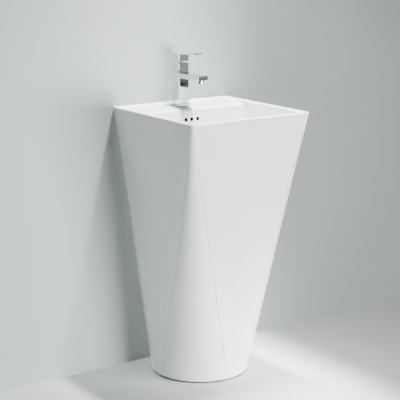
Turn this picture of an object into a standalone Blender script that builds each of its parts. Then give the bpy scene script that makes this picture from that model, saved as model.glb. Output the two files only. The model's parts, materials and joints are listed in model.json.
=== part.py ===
"""A free-standing pedestal wash basin with a single-lever mixer tap, a click waste and a bottle trap.

The basin and its pedestal are one hollow casting in vitreous china. Its top is a square, its foot is a
circle that touches the wall, and every side is ruled straight from one to the other. Behind the bowl a
sloping deck carries the tap. The waste and the trap hang inside the pedestal.

Axes: +X right, +Y to the wall, +Z up. Origin: on the floor, under the centre of the square top.
All sizes are in metres.
"""

import math

import bmesh
import bpy
from mathutils import Vector

# Clearances
GAP = 0.0003                # between two pieces that touch
LOOSE = 0.0006              # round a piece that is pushed into another

# Casting
TOP_SIZE = 0.430            # outer side of the square top
RIM_HEIGHT = 0.845          # floor to rim
BASE_RADIUS = 0.158         # foot
CORNER_RADIUS = 0.006       # upright corners at the top
EDGE_RADIUS = 0.004         # outer edge of the rim
WALL = 0.011                # china, outer skin
RIM_WIDTH = 0.015
BOWL_DEPTH = 0.145          # rim to waste seat
BOWL_WALL_DEPTH = 0.105     # rim to where the wall turns into the floor
BOWL_DRAFT = 0.014          # how far the walls lean in over that depth
BOWL_FLOOR_FILLET = 0.030
BOWL_CORNER_TOP = 0.010
BOWL_CORNER_LOW = 0.034
DECK_DEPTH = 0.095          # bowl to inner face of the back rim
DECK_DROP_BACK = 0.0045     # below the rim
DECK_DROP_FRONT = 0.012
DECK_LIP_RADIUS = 0.008
DECK_THICKNESS = 0.0135
REAR_WALL = 0.012           # china between bowl and rear chamber
FLOOR_SKIN = 0.014          # china under the waste seat
CORNER_STEPS = 8
ROUND = 20                  # sides of a round piece, the same for pieces that nest
SMALL_ROUND = 12

# Overflow
OVERFLOW_DIAMETER = 0.011
OVERFLOW_PITCH = 0.022
OVERFLOW_COUNT = 3
OVERFLOW_DROP = 0.0445      # rim to hole centres
DUCT_DEPTH = 0.011
DUCT_SKIN = 0.008

# Foot seal, wall fixings and the opening in the back
SEAL_HEIGHT = 0.004
SEAL_SETBACK = 0.002
SEAL_WIDTH = 0.007
STUD_DIAMETER = 0.010
STUD_LENGTH = 0.050
STUD_SPACING = 0.280
STUD_DROP = 0.085           # rim to stud centres
ACCESS_WIDTH = 0.170
ACCESS_BOTTOM = 0.150
ACCESS_ABOVE_OUTLET = 0.055

# Mixer tap
TAP_SETBACK = 0.053         # wall to tap axis
TAP_HOLE = 0.035
COLUMN_SIZE = 0.037
COLUMN_HEIGHT = 0.137       # above the tap land
LAND_DROP = 0.0095          # rim to tap land
PLATE_SIZE = 0.046
PLATE_TOP = 0.008           # above the tap land
GASKET_THICKNESS = 0.001
SPOUT_REACH = 0.123         # tap axis to tip
SPOUT_TOP = 0.1055          # above the tap land
SPOUT_THICKNESS = 0.015
AERATOR_SETBACK = 0.0135
AERATOR_DIAMETER = 0.0215
AERATOR_DROP = 0.009
BLOCK_GAP = 0.0045          # column to handle block
BLOCK_RELIEF = 0.004        # back edge cut away so that the handle can tilt
HANDLE_TOP = 0.1675         # above the tap land, at the tap axis
BLADE_REACH = 0.092         # tap axis to tip
BLADE_RISE = 0.0045
BLADE_THICKNESS = 0.004
BORE_DIAMETER = 0.026
BORE_DEPTH = 0.047
PIVOT_DROP = 0.0125         # column top to lift axis
ARM_LENGTH = 0.0095         # lift axis to ball
STEM_SIZE = 0.005
DISC_START = 0.0016         # moving disc behind the tap axis when shut
SLOT_FRONT = 0.0056         # of the turret, before and behind the tap axis
SLOT_BACK = 0.0084
TAIL_DIAMETER = 0.010
TAIL_LENGTH = 0.300
TAIL_SPREAD = 0.045         # tap axis to tail, below the bend
TAP_STUD_BELOW = 0.045      # under the deck

# Waste and trap
WASTE_TUBE = 0.0415
WASTE_WALL = 0.0025
WASTE_CLEARANCE = 0.00225   # round the tube in the china
FLANGE_OVERLAP = 0.0085     # flange past the hole
CAP_OVERLAP = 0.006
WASTE_LENGTH = 0.075        # below the waste seat
PLUG_TRAVEL = 0.008
TRAP_PIPE = 0.032
PIPE_WALL = 0.0015
OUTLET_DROP = 0.152         # waste seat to outlet axis
TRAP_LENGTH = 0.275         # waste seat to cup bottom

X, Y, Z = Vector((1, 0, 0)), Vector((0, 1, 0)), Vector((0, 0, 1))
DRAIN_HOLE = WASTE_TUBE + 2 * WASTE_CLEARANCE
FLANGE_DIAMETER = DRAIN_HOLE + 2 * FLANGE_OVERLAP
CAP_DIAMETER = DRAIN_HOLE + 2 * CAP_OVERLAP
BACK_Y = TOP_SIZE / 2
BASE_Y = BACK_Y - BASE_RADIUS
BOWL_HALF = BACK_Y - RIM_WIDTH
BOWL_BACK = BOWL_HALF - DECK_DEPTH
DRAIN = Vector((0, (BOWL_BACK - BOWL_HALF) / 2, RIM_HEIGHT - BOWL_DEPTH))
CHAMBER_FRONT = BOWL_BACK + REAR_WALL
INNER_BACK = BACK_Y - WALL
LAND_Z = RIM_HEIGHT - LAND_DROP
DECK_UNDER = LAND_Z - DECK_THICKNESS
HOLLOW_TOP = DRAIN.z - FLOOR_SKIN
DUCT_TOP = DRAIN.z - DUCT_SKIN - GAP
DUCT_BOTTOM = DUCT_TOP - DUCT_DEPTH
BOSS_BOTTOM = DUCT_BOTTOM - DUCT_SKIN
FOOT_Z = SEAL_HEIGHT + GAP
TAP = Vector((0, BACK_Y - TAP_SETBACK, LAND_Z))
COLUMN_HALF = COLUMN_SIZE / 2
COLUMN_TOP = LAND_Z + COLUMN_HEIGHT
COLUMN_BOTTOM = LAND_Z + GASKET_THICKNESS + 2 * GAP
BORE_FLOOR = COLUMN_TOP - BORE_DEPTH
PIVOT = Vector((0, TAP.y, COLUMN_TOP - PIVOT_DROP))
BALL = PIVOT - Vector((0, 0, ARM_LENGTH))
OUTLET_Z = DRAIN.z - OUTLET_DROP


# Scene, collections and materials

def clear_scene():
    for obj in list(bpy.data.objects):
        bpy.data.objects.remove(obj)


def new_collection(name):
    collection = bpy.data.collections.new(name)
    bpy.context.scene.collection.children.link(collection)
    return collection


def new_material(name, colour, metallic, roughness):
    material = bpy.data.materials.new(name)
    material.use_nodes = True
    shader = material.node_tree.nodes["Principled BSDF"]
    shader.inputs["Base Color"].default_value = (*colour, 1)
    shader.inputs["Metallic"].default_value = metallic
    shader.inputs["Roughness"].default_value = roughness
    return material


clear_scene()
PARTS = new_collection("pedestal_basin")
CUTTERS = new_collection("cutters")
CUTTERS.hide_render = True

CHINA = ("china", (0.86, 0.86, 0.84), 0.0, 0.08)
CHROME = ("chrome", (0.80, 0.81, 0.83), 1.0, 0.06)
BRASS = ("brass", (0.72, 0.52, 0.24), 1.0, 0.30)
STEEL = ("steel", (0.60, 0.60, 0.60), 1.0, 0.30)
COPPER = ("copper", (0.74, 0.40, 0.27), 1.0, 0.30)
RUBBER = ("rubber", (0.03, 0.03, 0.03), 0.0, 0.70)
SEALANT = ("sealant", (0.16, 0.16, 0.15), 0.0, 0.60)
ALUMINA = ("alumina", (0.88, 0.86, 0.80), 0.0, 0.20)
NYLON = ("nylon", (0.72, 0.72, 0.68), 0.0, 0.45)
GREY_PLASTIC = ("grey_plastic", (0.12, 0.12, 0.13), 0.0, 0.40)
WHITE_PLASTIC = ("white_plastic", (0.80, 0.80, 0.78), 0.0, 0.35)


# Shapes

def finish(obj, finish_values):
    """Gives a part its own material and shades its round faces smooth."""
    name, colour, metallic, roughness = finish_values
    obj.data.materials.append(new_material(f"{obj.name}_{name}", colour, metallic, roughness))
    obj.data.shade_smooth()
    obj.data.set_sharp_from_angle(angle=math.radians(30))
    return obj


def new_object(name, bm, finish_values=None, origin=(0, 0, 0)):
    """Makes an object of bm, whose points are in world coordinates. Without a finish it is a cutter."""
    bmesh.ops.translate(bm, vec=-Vector(origin), verts=bm.verts)
    bmesh.ops.recalc_face_normals(bm, faces=bm.faces)
    mesh = bpy.data.meshes.new(name)
    bm.to_mesh(mesh)
    bm.free()
    obj = bpy.data.objects.new(name, mesh)
    obj.location = origin
    if finish_values:
        PARTS.objects.link(obj)
        return finish(obj, finish_values)
    CUTTERS.objects.link(obj)
    obj.hide_render = True
    obj.display_type = "WIRE"
    return obj


def box(name, low, high, finish_values=None, origin=(0, 0, 0)):
    bm = bmesh.new()
    bmesh.ops.create_cube(bm, size=1)
    low, high = Vector(low), Vector(high)
    for vert in bm.verts:
        vert.co = Vector(a + (b - a) * (c + 0.5) for a, b, c in zip(low, high, vert.co))
    return new_object(name, bm, finish_values, origin)


def cylinder(name, radius, centre, low, high, finish_values=None, axis=Z, segments=ROUND, origin=(0, 0, 0)):
    """A cylinder along an axis, from low to high past its centre."""
    bm = bmesh.new()
    bmesh.ops.create_cone(
        bm, cap_ends=True, segments=segments, radius1=radius, radius2=radius, depth=high - low
    )
    bmesh.ops.rotate(bm, matrix=axis.to_track_quat("Z", "Y").to_matrix(), verts=bm.verts)
    bmesh.ops.translate(bm, vec=centre + axis * (low + high) / 2, verts=bm.verts)
    return new_object(name, bm, finish_values, origin)


def turned(name, profile, centre, finish_values, steps=ROUND, along_y=False):
    """Spins a profile of (radius, height) round Z, or round Y. The profile runs down its outer side and,
    when neither end is on the axis, back up its inner side to where it began."""
    bm = bmesh.new()
    verts = [bm.verts.new((radius, 0, height)) for radius, height in profile]
    for a, b in zip(verts, verts[1:]):
        bm.edges.new((a, b))
    if profile[0][0] > 0:
        bm.edges.new((verts[-1], verts[0]))
    mesh = bpy.data.meshes.new(name)
    bm.to_mesh(mesh)
    bm.free()
    obj = bpy.data.objects.new(name, mesh)
    obj.location = centre
    if along_y:
        obj.rotation_euler.x = -math.pi / 2
    screw = obj.modifiers.new("Turn", "SCREW")
    screw.steps = screw.render_steps = steps
    screw.use_merge_vertices = True
    screw.merge_threshold = 1e-5
    screw.use_smooth_shade = True
    PARTS.objects.link(obj)
    return finish(obj, finish_values)


def ring(name, outer, inner, low, high, centre, finish_values, steps=ROUND, along_y=False):
    profile = [(outer, high), (outer, low), (inner, low), (inner, high)]
    return turned(name, profile, centre, finish_values, steps, along_y)


def extruded(name, outline, half_width, finish_values, origin=(0, 0, 0)):
    """A flat outline of (y, z) points, as wide as 2 * half_width along X."""
    bm = bmesh.new()
    face = bm.faces.new([bm.verts.new((-half_width, y, z)) for y, z in outline])
    made = bmesh.ops.extrude_face_region(bm, geom=[face])["geom"]
    moved = [item for item in made if isinstance(item, bmesh.types.BMVert)]
    bmesh.ops.translate(bm, vec=(2 * half_width, 0, 0), verts=moved)
    return new_object(name, bm, finish_values, origin)


def rounded_rectangle(x_half, y_low, y_high, radius, z):
    """Points of a rounded rectangle at height z, corner by corner, anticlockwise."""
    points = []
    corners = ((x_half, y_high), (-x_half, y_high), (-x_half, y_low), (x_half, y_low))
    for quarter, (x, y) in enumerate(corners):
        centre = Vector((x - math.copysign(radius, x), y - radius if y == y_high else y + radius, z))
        for step in range(CORNER_STEPS + 1):
            angle = math.pi / 2 * (quarter + step / CORNER_STEPS)
            points.append(centre + radius * Vector((math.cos(angle), math.sin(angle), 0)))
    return points


def loft(name, rings, finish_values=None):
    """A closed skin over rings of equally many points, the lowest ring first."""
    bm = bmesh.new()
    rows = [[bm.verts.new(point) for point in points] for points in rings]
    count = len(rows[0])
    for lower, upper in zip(rows, rows[1:]):
        for i in range(count):
            j = (i + 1) % count
            bm.faces.new((lower[i], lower[j], upper[j], upper[i]))
    bm.faces.new(reversed(rows[0]))
    bm.faces.new(rows[-1])
    bmesh.ops.remove_doubles(bm, verts=bm.verts, dist=1e-6)
    return new_object(name, bm, finish_values)


def combine(obj, other, operation):
    modifier = obj.modifiers.new(f"{operation.title()} {other.name}", "BOOLEAN")
    modifier.operation = operation
    modifier.object = other
    return obj


def cut(obj, *cutters):
    for cutter in cutters:
        combine(obj, cutter, "DIFFERENCE")
    return obj


def join(obj, *others):
    for other in others:
        combine(obj, other, "UNION")
    return obj


def drill(obj, radius, centre, low, high, axis=Z, segments=ROUND):
    name = f"{obj.name}_hole_{len(obj.modifiers) + 1}"
    return cut(obj, cylinder(name, radius, centre, low, high, None, axis, segments))


def mill(obj, low, high):
    return cut(obj, box(f"{obj.name}_slot_{len(obj.modifiers) + 1}", low, high))


def hex_nut(name, radius, bore, centre, low, high, finish_values, axis=Z, segments=SMALL_ROUND):
    """A hexagon nut with a plain bore. radius is to its corners."""
    nut = cylinder(name, radius, centre, low, high, finish_values, axis, 6)
    return drill(nut, bore, centre, low - (high - low), high + (high - low), axis, segments)


def pivot(name, location):
    """An empty on a joint's axis, which its moving pieces hang from."""
    empty = bpy.data.objects.new(name, None)
    empty.location = location
    empty.empty_display_size = 0.02
    PARTS.objects.link(empty)
    return empty


def hang(parent, *pieces):
    for piece in pieces:
        piece.parent = parent
        piece.location = piece.location - parent.location


# Casting

def casting_ring(z, inset=0.0):
    """The outer section at height z. Each side runs straight from the square top to the round foot."""
    share = 1 - min(max(z / (RIM_HEIGHT - EDGE_RADIUS), 0), 1)
    half = (1 - share) * TOP_SIZE / 2 + share * BASE_RADIUS - inset
    radius = (1 - share) * CORNER_RADIUS + share * BASE_RADIUS - inset
    middle = share * BASE_Y
    return rounded_rectangle(half, middle - half, middle + half, max(radius, EDGE_RADIUS / 4), z)


def casting_rings():
    """Foot with a small chamfer, ruled sides, and a rounded top edge."""
    foot_chamfer = EDGE_RADIUS / 2
    rings = [casting_ring(FOOT_Z, foot_chamfer), casting_ring(FOOT_Z + foot_chamfer)]
    for angle in (0, 45, 90):
        turn = math.radians(angle)
        inset = EDGE_RADIUS * (1 - math.cos(turn))
        rings.append(casting_ring(RIM_HEIGHT - EDGE_RADIUS * (1 - math.sin(turn)), inset))
    return rings


def deck_z(y):
    share = (BOWL_HALF - y) / DECK_DEPTH
    return RIM_HEIGHT - DECK_DROP_BACK - share * (DECK_DROP_FRONT - DECK_DROP_BACK)


def bowl_ring(depth, inset, corner, flare=0.0):
    """A section of the bowl. flare moves only its back edge, over the lip of the deck."""
    half = BOWL_HALF - inset
    return rounded_rectangle(half, -half, BOWL_BACK - inset + flare, corner, RIM_HEIGHT - depth)


def bowl_cutter():
    """Wall, floor fillet and floor, down to a flat round seat for the waste."""
    seat = []
    radius = FLANGE_DIAMETER / 2 + 2 * LOOSE
    for quarter in range(4):
        for step in range(CORNER_STEPS + 1):
            angle = math.pi / 2 * (quarter + step / CORNER_STEPS)
            seat.append(DRAIN + radius * Vector((math.cos(angle), math.sin(angle), 0)))
    rings = [seat]
    for angle in (90, 60, 30):
        turn = math.radians(angle)
        depth = BOWL_WALL_DEPTH + BOWL_FLOOR_FILLET * math.sin(turn)
        inset = BOWL_DRAFT + BOWL_FLOOR_FILLET * (1 - math.cos(turn))
        rings.append(bowl_ring(depth, inset, BOWL_CORNER_LOW))
    rings.append(bowl_ring(BOWL_WALL_DEPTH, BOWL_DRAFT, BOWL_CORNER_LOW))
    lip_start = DECK_DROP_FRONT + DECK_LIP_RADIUS
    for angle in (0, 30, 60, 90):
        turn = math.radians(angle)
        depth = lip_start - DECK_LIP_RADIUS * math.sin(turn)
        share = depth / BOWL_WALL_DEPTH
        corner = BOWL_CORNER_TOP + share * (BOWL_CORNER_LOW - BOWL_CORNER_TOP)
        flare = DECK_LIP_RADIUS * (1 - math.cos(turn))
        rings.append(bowl_ring(depth, share * BOWL_DRAFT, corner, flare))
    rings.append(bowl_ring(-EDGE_RADIUS, 0, BOWL_CORNER_TOP, DECK_LIP_RADIUS))
    return loft("bowl_cutter", rings)


def deck_cutter():
    """The shallow recess behind the bowl, whose floor slopes forward."""
    front = (BOWL_BACK - BOWL_HALF) / 2
    rings = [
        rounded_rectangle(BOWL_HALF, front, BOWL_HALF, BOWL_CORNER_TOP, z)
        for z in (RIM_HEIGHT, RIM_HEIGHT + EDGE_RADIUS)
    ]
    for point in rings[0]:
        point.z = deck_z(max(point.y, BOWL_BACK))
    return loft("deck_cutter", rings)


def hollow_cutter():
    """The space inside the pedestal, an even wall inside the casting."""
    rings = [casting_ring(z, WALL) for z in (-WALL, 0, HOLLOW_TOP)]
    return loft("hollow_cutter", rings)


def chamber_cutter():
    """The space behind the bowl and under the deck, where the tap is fastened."""
    half = TOP_SIZE / 2 - RIM_WIDTH - 2 * CORNER_RADIUS - 0.008
    rings = [
        rounded_rectangle(half, CHAMBER_FRONT, INNER_BACK, CORNER_RADIUS, z)
        for z in (HOLLOW_TOP - WALL, DECK_UNDER)
    ]
    return loft("chamber_cutter", rings)


DUCT_HALF = OVERFLOW_PITCH * (OVERFLOW_COUNT - 1) / 2 + OVERFLOW_DIAMETER / 2 + 0.0015
DUCT_FRONT = CHAMBER_FRONT - DUCT_SKIN / 2
DUCT_BACK = DUCT_FRONT + DUCT_DEPTH
OVERFLOW_Z = RIM_HEIGHT - OVERFLOW_DROP


def duct_casing():
    """China walls of the overflow passage: down behind the bowl, then forward round the waste hole."""
    side = DUCT_HALF + DUCT_SKIN
    back = DUCT_BACK + DUCT_SKIN
    front = DRAIN.y - DRAIN_HOLE / 2 - 2 * DUCT_SKIN
    root = CHAMBER_FRONT - REAR_WALL / 2
    down = box("duct_back", (-side, root, BOSS_BOTTOM), (side, back, DECK_UNDER + WALL / 2))
    boss_top = HOLLOW_TOP + FLOOR_SKIN / 2
    under = box("duct_boss", (-side, front, BOSS_BOTTOM), (side, back - GAP, boss_top))
    return join(down, under)


def duct_cutter():
    top = OVERFLOW_Z + OVERFLOW_DIAMETER / 2 + GAP
    down = box("duct_down", (-DUCT_HALF, DUCT_FRONT, DUCT_BOTTOM), (DUCT_HALF, DUCT_BACK, top))
    half = DRAIN_HOLE / 2 - DUCT_SKIN / 4
    low, high = (-half, DRAIN.y, DUCT_BOTTOM + GAP), (half, DUCT_FRONT + DUCT_DEPTH / 2, DUCT_TOP)
    return join(down, box("duct_forward", low, high))


def access_cutter():
    """The opening in the back that the pipes go through."""
    half = ACCESS_WIDTH / 2
    points = rounded_rectangle(half, ACCESS_BOTTOM, OUTLET_Z + ACCESS_ABOVE_OUTLET, 3 * WALL, 0)
    planes = (BACK_Y + WALL, BASE_Y + BASE_RADIUS / 2)
    return loft("access_cutter", [[Vector((p.x, y, p.y)) for p in points] for y in planes])


def stud_places():
    z = RIM_HEIGHT - STUD_DROP
    return {"left": Vector((-STUD_SPACING / 2, 0, z)), "right": Vector((STUD_SPACING / 2, 0, z))}


def make_casting():
    casting = loft("basin_pedestal", casting_rings(), CHINA)
    cut(casting, hollow_cutter(), chamber_cutter())
    join(casting, duct_casing())
    cut(casting, bowl_cutter(), deck_cutter(), duct_cutter(), access_cutter())
    land = PLATE_SIZE / 2 + 3 * GASKET_THICKNESS
    mill(casting, (-land, TAP.y - land, LAND_Z), (land, TAP.y + land, RIM_HEIGHT))
    drill(casting, DRAIN_HOLE / 2, DRAIN, BOSS_BOTTOM - DRAIN.z - WALL, WALL / 2)
    drill(casting, TAP_HOLE / 2, TAP, -2 * DECK_THICKNESS, WALL)
    for i in range(OVERFLOW_COUNT):
        x = (i - (OVERFLOW_COUNT - 1) / 2) * OVERFLOW_PITCH
        start, end = BOWL_BACK - BOWL_DRAFT, DUCT_FRONT + DUCT_DEPTH / 2
        drill(casting, OVERFLOW_DIAMETER / 2, Vector((x, 0, OVERFLOW_Z)), start, end, Y, SMALL_ROUND)
    for place in stud_places().values():
        drill(casting, STUD_DIAMETER / 2 + 3 * LOOSE, place, INNER_BACK - WALL, BACK_Y + WALL, Y, SMALL_ROUND)


def make_floor_seal():
    outer = BASE_RADIUS - SEAL_SETBACK
    centre = Vector((0, BASE_Y, 0))
    ring("floor_seal", outer, outer - SEAL_WIDTH, 0, SEAL_HEIGHT, centre, SEALANT, 4 * CORNER_STEPS)


def make_wall_fixings():
    """On each side a stud from the wall, a sleeve in the china, a washer and a nut."""
    radius = STUD_DIAMETER / 2
    bore = radius + GAP
    washer_thickness = 0.003
    nut_height = 0.008
    wall_end = BACK_Y - GAP
    washer_back = INNER_BACK - GAP
    washer_front = washer_back - washer_thickness
    nut_back = washer_front - GAP
    nut_front = nut_back - nut_height
    for side, place in stud_places().items():
        cylinder(f"wall_stud_{side}", radius, place, wall_end - STUD_LENGTH, wall_end, STEEL, Y, SMALL_ROUND)
        sleeve = radius + 2 * LOOSE
        ring(f"stud_sleeve_{side}", sleeve, bore, INNER_BACK, wall_end, place, NYLON, SMALL_ROUND, True)
        washer = 1.4 * STUD_DIAMETER
        ring(f"stud_washer_{side}", washer, bore, washer_front, washer_back, place, NYLON, SMALL_ROUND, True)
        hex_nut(f"stud_nut_{side}", 0.98 * STUD_DIAMETER, bore, place, nut_front, nut_back, STEEL, Y)


# Tap

INLET_OFFSETS = {"hot": Vector((-0.0085, 0.004, 0)), "cold": Vector((0.0085, 0.004, 0))}
INLET_RADIUS = 0.003
TAP_STUD_RADIUS = 0.004
TAP_STUD = TAP + Vector((0, -0.010, 0))
SPOUT_UNDER = LAND_Z + SPOUT_TOP - SPOUT_THICKNESS
SPOUT_SKIN = 0.0035
AERATOR = Vector((0, TAP.y - SPOUT_REACH + AERATOR_SETBACK, SPOUT_UNDER))
AERATOR_SOCKET = AERATOR_DIAMETER / 2 - 0.0005
AERATOR_SOCKET_DEPTH = SPOUT_THICKNESS - SPOUT_SKIN - GAP


def make_tap_base():
    half = PLATE_SIZE / 2
    plate_low = COLUMN_BOTTOM - LAND_Z
    low, high = Vector((-half, -half, plate_low)), Vector((half, half, PLATE_TOP))
    plate = box("tap_base_plate", TAP + low, TAP + high, CHROME)
    inner = COLUMN_HALF + GAP
    mill(plate, TAP + Vector((-inner, -inner, 0)), TAP + Vector((inner, inner, 2 * PLATE_TOP)))
    seat = half - GASKET_THICKNESS
    low, high = Vector((-seat, -seat, GAP)), Vector((seat, seat, GAP + GASKET_THICKNESS))
    gasket = box("tap_base_gasket", TAP + low, TAP + high, RUBBER)
    drill(gasket, COLUMN_HALF - GASKET_THICKNESS, TAP, -PLATE_TOP, PLATE_TOP)


def make_mixer_body():
    """Square column and flat spout, with the cartridge bore, inlets, waterway and aerator socket."""
    front, back = TAP.y - COLUMN_HALF, TAP.y + COLUMN_HALF
    tip = TAP.y - SPOUT_REACH
    spout_top = LAND_Z + SPOUT_TOP
    outline = [(back, COLUMN_BOTTOM), (back, COLUMN_TOP), (front, COLUMN_TOP), (front, spout_top),
               (tip, spout_top), (tip, SPOUT_UNDER), (front, SPOUT_UNDER), (front, COLUMN_BOTTOM)]
    body = extruded("mixer_body", outline, COLUMN_HALF, CHROME)
    drill(body, BORE_DIAMETER / 2, TAP, BORE_FLOOR - TAP.z, COLUMN_HEIGHT + WALL)
    half = COLUMN_HALF - 2 * SPOUT_SKIN
    mill(body, (-half, AERATOR.y, SPOUT_UNDER + SPOUT_SKIN),
         (half, TAP.y - BORE_DIAMETER / 4, spout_top - SPOUT_SKIN))
    drill(body, AERATOR_SOCKET, AERATOR, -WALL, AERATOR_SOCKET_DEPTH)
    for offset in INLET_OFFSETS.values():
        passage = TAP + Vector((0.8 * offset.x, offset.y, 0))
        drill(body, INLET_RADIUS, passage, 0, BORE_FLOOR - TAP.z + WALL / 2, Z, SMALL_ROUND)
        drill(body, TAIL_DIAMETER / 2 + GAP, TAP + offset, 0, TAIL_SOCKET_TOP + 2 * GAP, Z, SMALL_ROUND)
    drill(body, TAP_STUD_RADIUS + GAP, TAP_STUD, 0, TAP_STUD_TOP + 2 * GAP, Z, SMALL_ROUND)


TAIL_SOCKET_TOP = COLUMN_BOTTOM - LAND_Z + TAIL_DIAMETER
TAP_STUD_TOP = COLUMN_BOTTOM - LAND_Z + 4 * TAP_STUD_RADIUS


def make_tap_fixing():
    """The stud, rubber and steel horseshoes, and nut that pull the tap down on the deck."""
    low = DECK_UNDER - LAND_Z - TAP_STUD_BELOW
    cylinder("tap_stud", TAP_STUD_RADIUS, TAP_STUD, low, TAP_STUD_TOP, BRASS, segments=SMALL_ROUND)
    top = DECK_UNDER - LAND_Z - GAP
    half = TAIL_DIAMETER / 2 + INLET_OFFSETS["cold"].x + LOOSE
    radius = TAP_HOLE / 2 + 0.0055
    for name, thickness, values in (("clamp_washer", 0.003, RUBBER), ("clamp_plate", 0.002, STEEL)):
        plate = cylinder(name, radius, TAP, top - thickness, top, values)
        slot_low = Vector((-half, -TAIL_DIAMETER / 4, top - WALL))
        mill(plate, TAP + slot_low, TAP + Vector((half, TAP_HOLE, top + WALL)))
        drill(plate, TAP_STUD_RADIUS + GAP, TAP_STUD, top - WALL, top + WALL, Z, SMALL_ROUND)
        top -= thickness + GAP
    hex_nut("clamp_nut", 0.0075, TAP_STUD_RADIUS + GAP, TAP_STUD, top - 0.0065, top, BRASS)


def tail_points(offset):
    """Straight down from the tap, an S-bend to the side, and straight down again."""
    side = math.copysign(1, offset.x)
    spread = TAIL_SPREAD - abs(offset.x)
    start = TAP + offset + Vector((0, 0, TAIL_SOCKET_TOP))
    bend_top = DECK_UNDER - 0.050
    bend_height = 0.060
    bend_steps = 8
    points = [start]
    for step in range(bend_steps + 1):
        share = step / bend_steps
        x = start.x + side * spread * (1 - math.cos(math.pi * share)) / 2
        points.append(Vector((x, start.y, bend_top - bend_height * share)))
    points.append(Vector((points[-1].x, start.y, start.z - TAIL_LENGTH)))
    return points


def wire(name, points, radius, finish_values, resolution, location=(0, 0, 0)):
    """A round bar along a run of points."""
    curve = bpy.data.curves.new(name, "CURVE")
    curve.dimensions = "3D"
    curve.bevel_depth = radius
    curve.bevel_resolution = resolution
    curve.use_fill_caps = True
    spline = curve.splines.new("POLY")
    spline.points.add(len(points) - 1)
    for point, place in zip(spline.points, points):
        point.co = (*place, 1)
    obj = bpy.data.objects.new(name, curve)
    obj.location = location
    finish_name, colour, metallic, roughness = finish_values
    curve.materials.append(new_material(f"{name}_{finish_name}", colour, metallic, roughness))
    PARTS.objects.link(obj)


def make_supply_tails():
    """Rigid copper tails, bent apart below the deck so that they pass the waste pipe."""
    for name, offset in INLET_OFFSETS.items():
        points = tail_points(offset)
        radius = TAIL_DIAMETER / 2
        wire(f"{name}_supply_tail", points, radius, COPPER, 2)
        hex_nut(f"{name}_tail_nut", 2.1 * radius, radius + GAP, points[-1], -0.006, 0.010, BRASS)


def make_aerator():
    outer = AERATOR_DIAMETER / 2
    neck = AERATOR_SOCKET - GAP
    inner = neck - 0.0018
    lip = 0.0015
    low = -AERATOR_DROP
    seal_top = AERATOR_SOCKET_DEPTH - GAP
    neck_top = seal_top - 0.002
    profile = [(neck, neck_top), (neck, -GAP), (outer, -GAP), (outer, low), (inner - lip, low),
               (inner - lip, low + lip), (inner, low + lip), (inner, neck_top)]
    turned("aerator_housing", profile, AERATOR, CHROME)
    insert = cylinder("aerator_insert", inner - GAP, AERATOR, low + lip + GAP, neck_top - GAP, WHITE_PLASTIC)
    for i in range(4):
        angle = math.pi / 2 * (i + 0.5)
        place = AERATOR + 0.55 * inner * Vector((math.cos(angle), math.sin(angle), 0))
        drill(insert, 0.0018, place, -WALL, WALL, Z, 8)
    ring("aerator_seal", neck, inner - 0.001, neck_top + GAP, seal_top, AERATOR, RUBBER)


# Cartridge. Heights are above the tap land.

HOUSING_RADIUS = BORE_DIAMETER / 2 - GAP
CUP_RADIUS = HOUSING_RADIUS - 0.002
HOUSING_LOW = BORE_FLOOR - LAND_Z + GAP
DISC_SEAT = HOUSING_LOW + 0.0152
HOUSING_TOP = HOUSING_LOW + 0.0302
FIXED_LOW = DISC_SEAT + GAP
FIXED_TOP = FIXED_LOW + 0.0028
MOVING_LOW = FIXED_TOP + GAP
MOVING_TOP = MOVING_LOW + 0.0026
CARRIER_LOW = MOVING_TOP + GAP
CARRIER_TOP = CARRIER_LOW + 0.0044
FLANGE_UNDER = CARRIER_TOP + LOOSE
DISC_RADIUS = CUP_RADIUS - DISC_START - 0.0016
TURRET_RADIUS = CUP_RADIUS - 0.0009
TURRET_TOP = COLUMN_HEIGHT + GAP
PIN_RADIUS = 0.0012
PORT_RADIUS = 0.0026
PORTS = [Vector((-0.0065, 0.0035, 0)), Vector((0.0065, 0.0035, 0)), Vector((0, -0.0060, 0))]


def make_cartridge_housing():
    """A plastic cup. Two ports bring water up, and the third leads it out to the spout."""
    profile = [(0, DISC_SEAT), (CUP_RADIUS, DISC_SEAT), (CUP_RADIUS, HOUSING_TOP),
               (HOUSING_RADIUS, HOUSING_TOP), (HOUSING_RADIUS, HOUSING_LOW), (0, HOUSING_LOW)]
    housing = turned("cartridge_housing", profile, TAP, GREY_PLASTIC)
    window_low = SPOUT_UNDER + SPOUT_SKIN - LAND_Z
    for offset in PORTS:
        low = HOUSING_LOW - WALL if offset.x else window_low
        drill(housing, PORT_RADIUS, TAP + offset, low, DISC_SEAT + WALL / 4, Z, SMALL_ROUND)
    half = 2 * PORT_RADIUS
    mill(housing, TAP + Vector((-half, -BORE_DIAMETER, window_low)),
         TAP + Vector((half, PORTS[2].y, window_low + half)))


def make_discs():
    """Two lapped alumina discs. The upper one slides on the lower one and opens its ports."""
    fixed = cylinder("fixed_disc", CUP_RADIUS - GAP, TAP, FIXED_LOW, FIXED_TOP, ALUMINA)
    for offset in PORTS:
        drill(fixed, PORT_RADIUS - GAP, TAP + offset, DISC_SEAT - WALL, FIXED_TOP + WALL, Z, SMALL_ROUND)
    middle = TAP + Vector((0, DISC_START, 0))
    moving = cylinder("moving_disc", DISC_RADIUS, middle, MOVING_LOW, MOVING_TOP, ALUMINA, origin=BALL)
    half = 0.6 * DISC_RADIUS
    recess = MOVING_LOW + 0.0012
    mill(moving, middle + Vector((-half, -half, FIXED_TOP)), middle + Vector((half, half, recess)))
    radius = DISC_RADIUS - GAP
    carrier = cylinder("disc_carrier", radius, middle, CARRIER_LOW, CARRIER_TOP, GREY_PLASTIC, origin=BALL)
    drill(carrier, STEM_SIZE / 2 + LOOSE, TAP, MOVING_TOP - WALL, CARRIER_TOP + WALL)
    return moving, carrier


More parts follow.
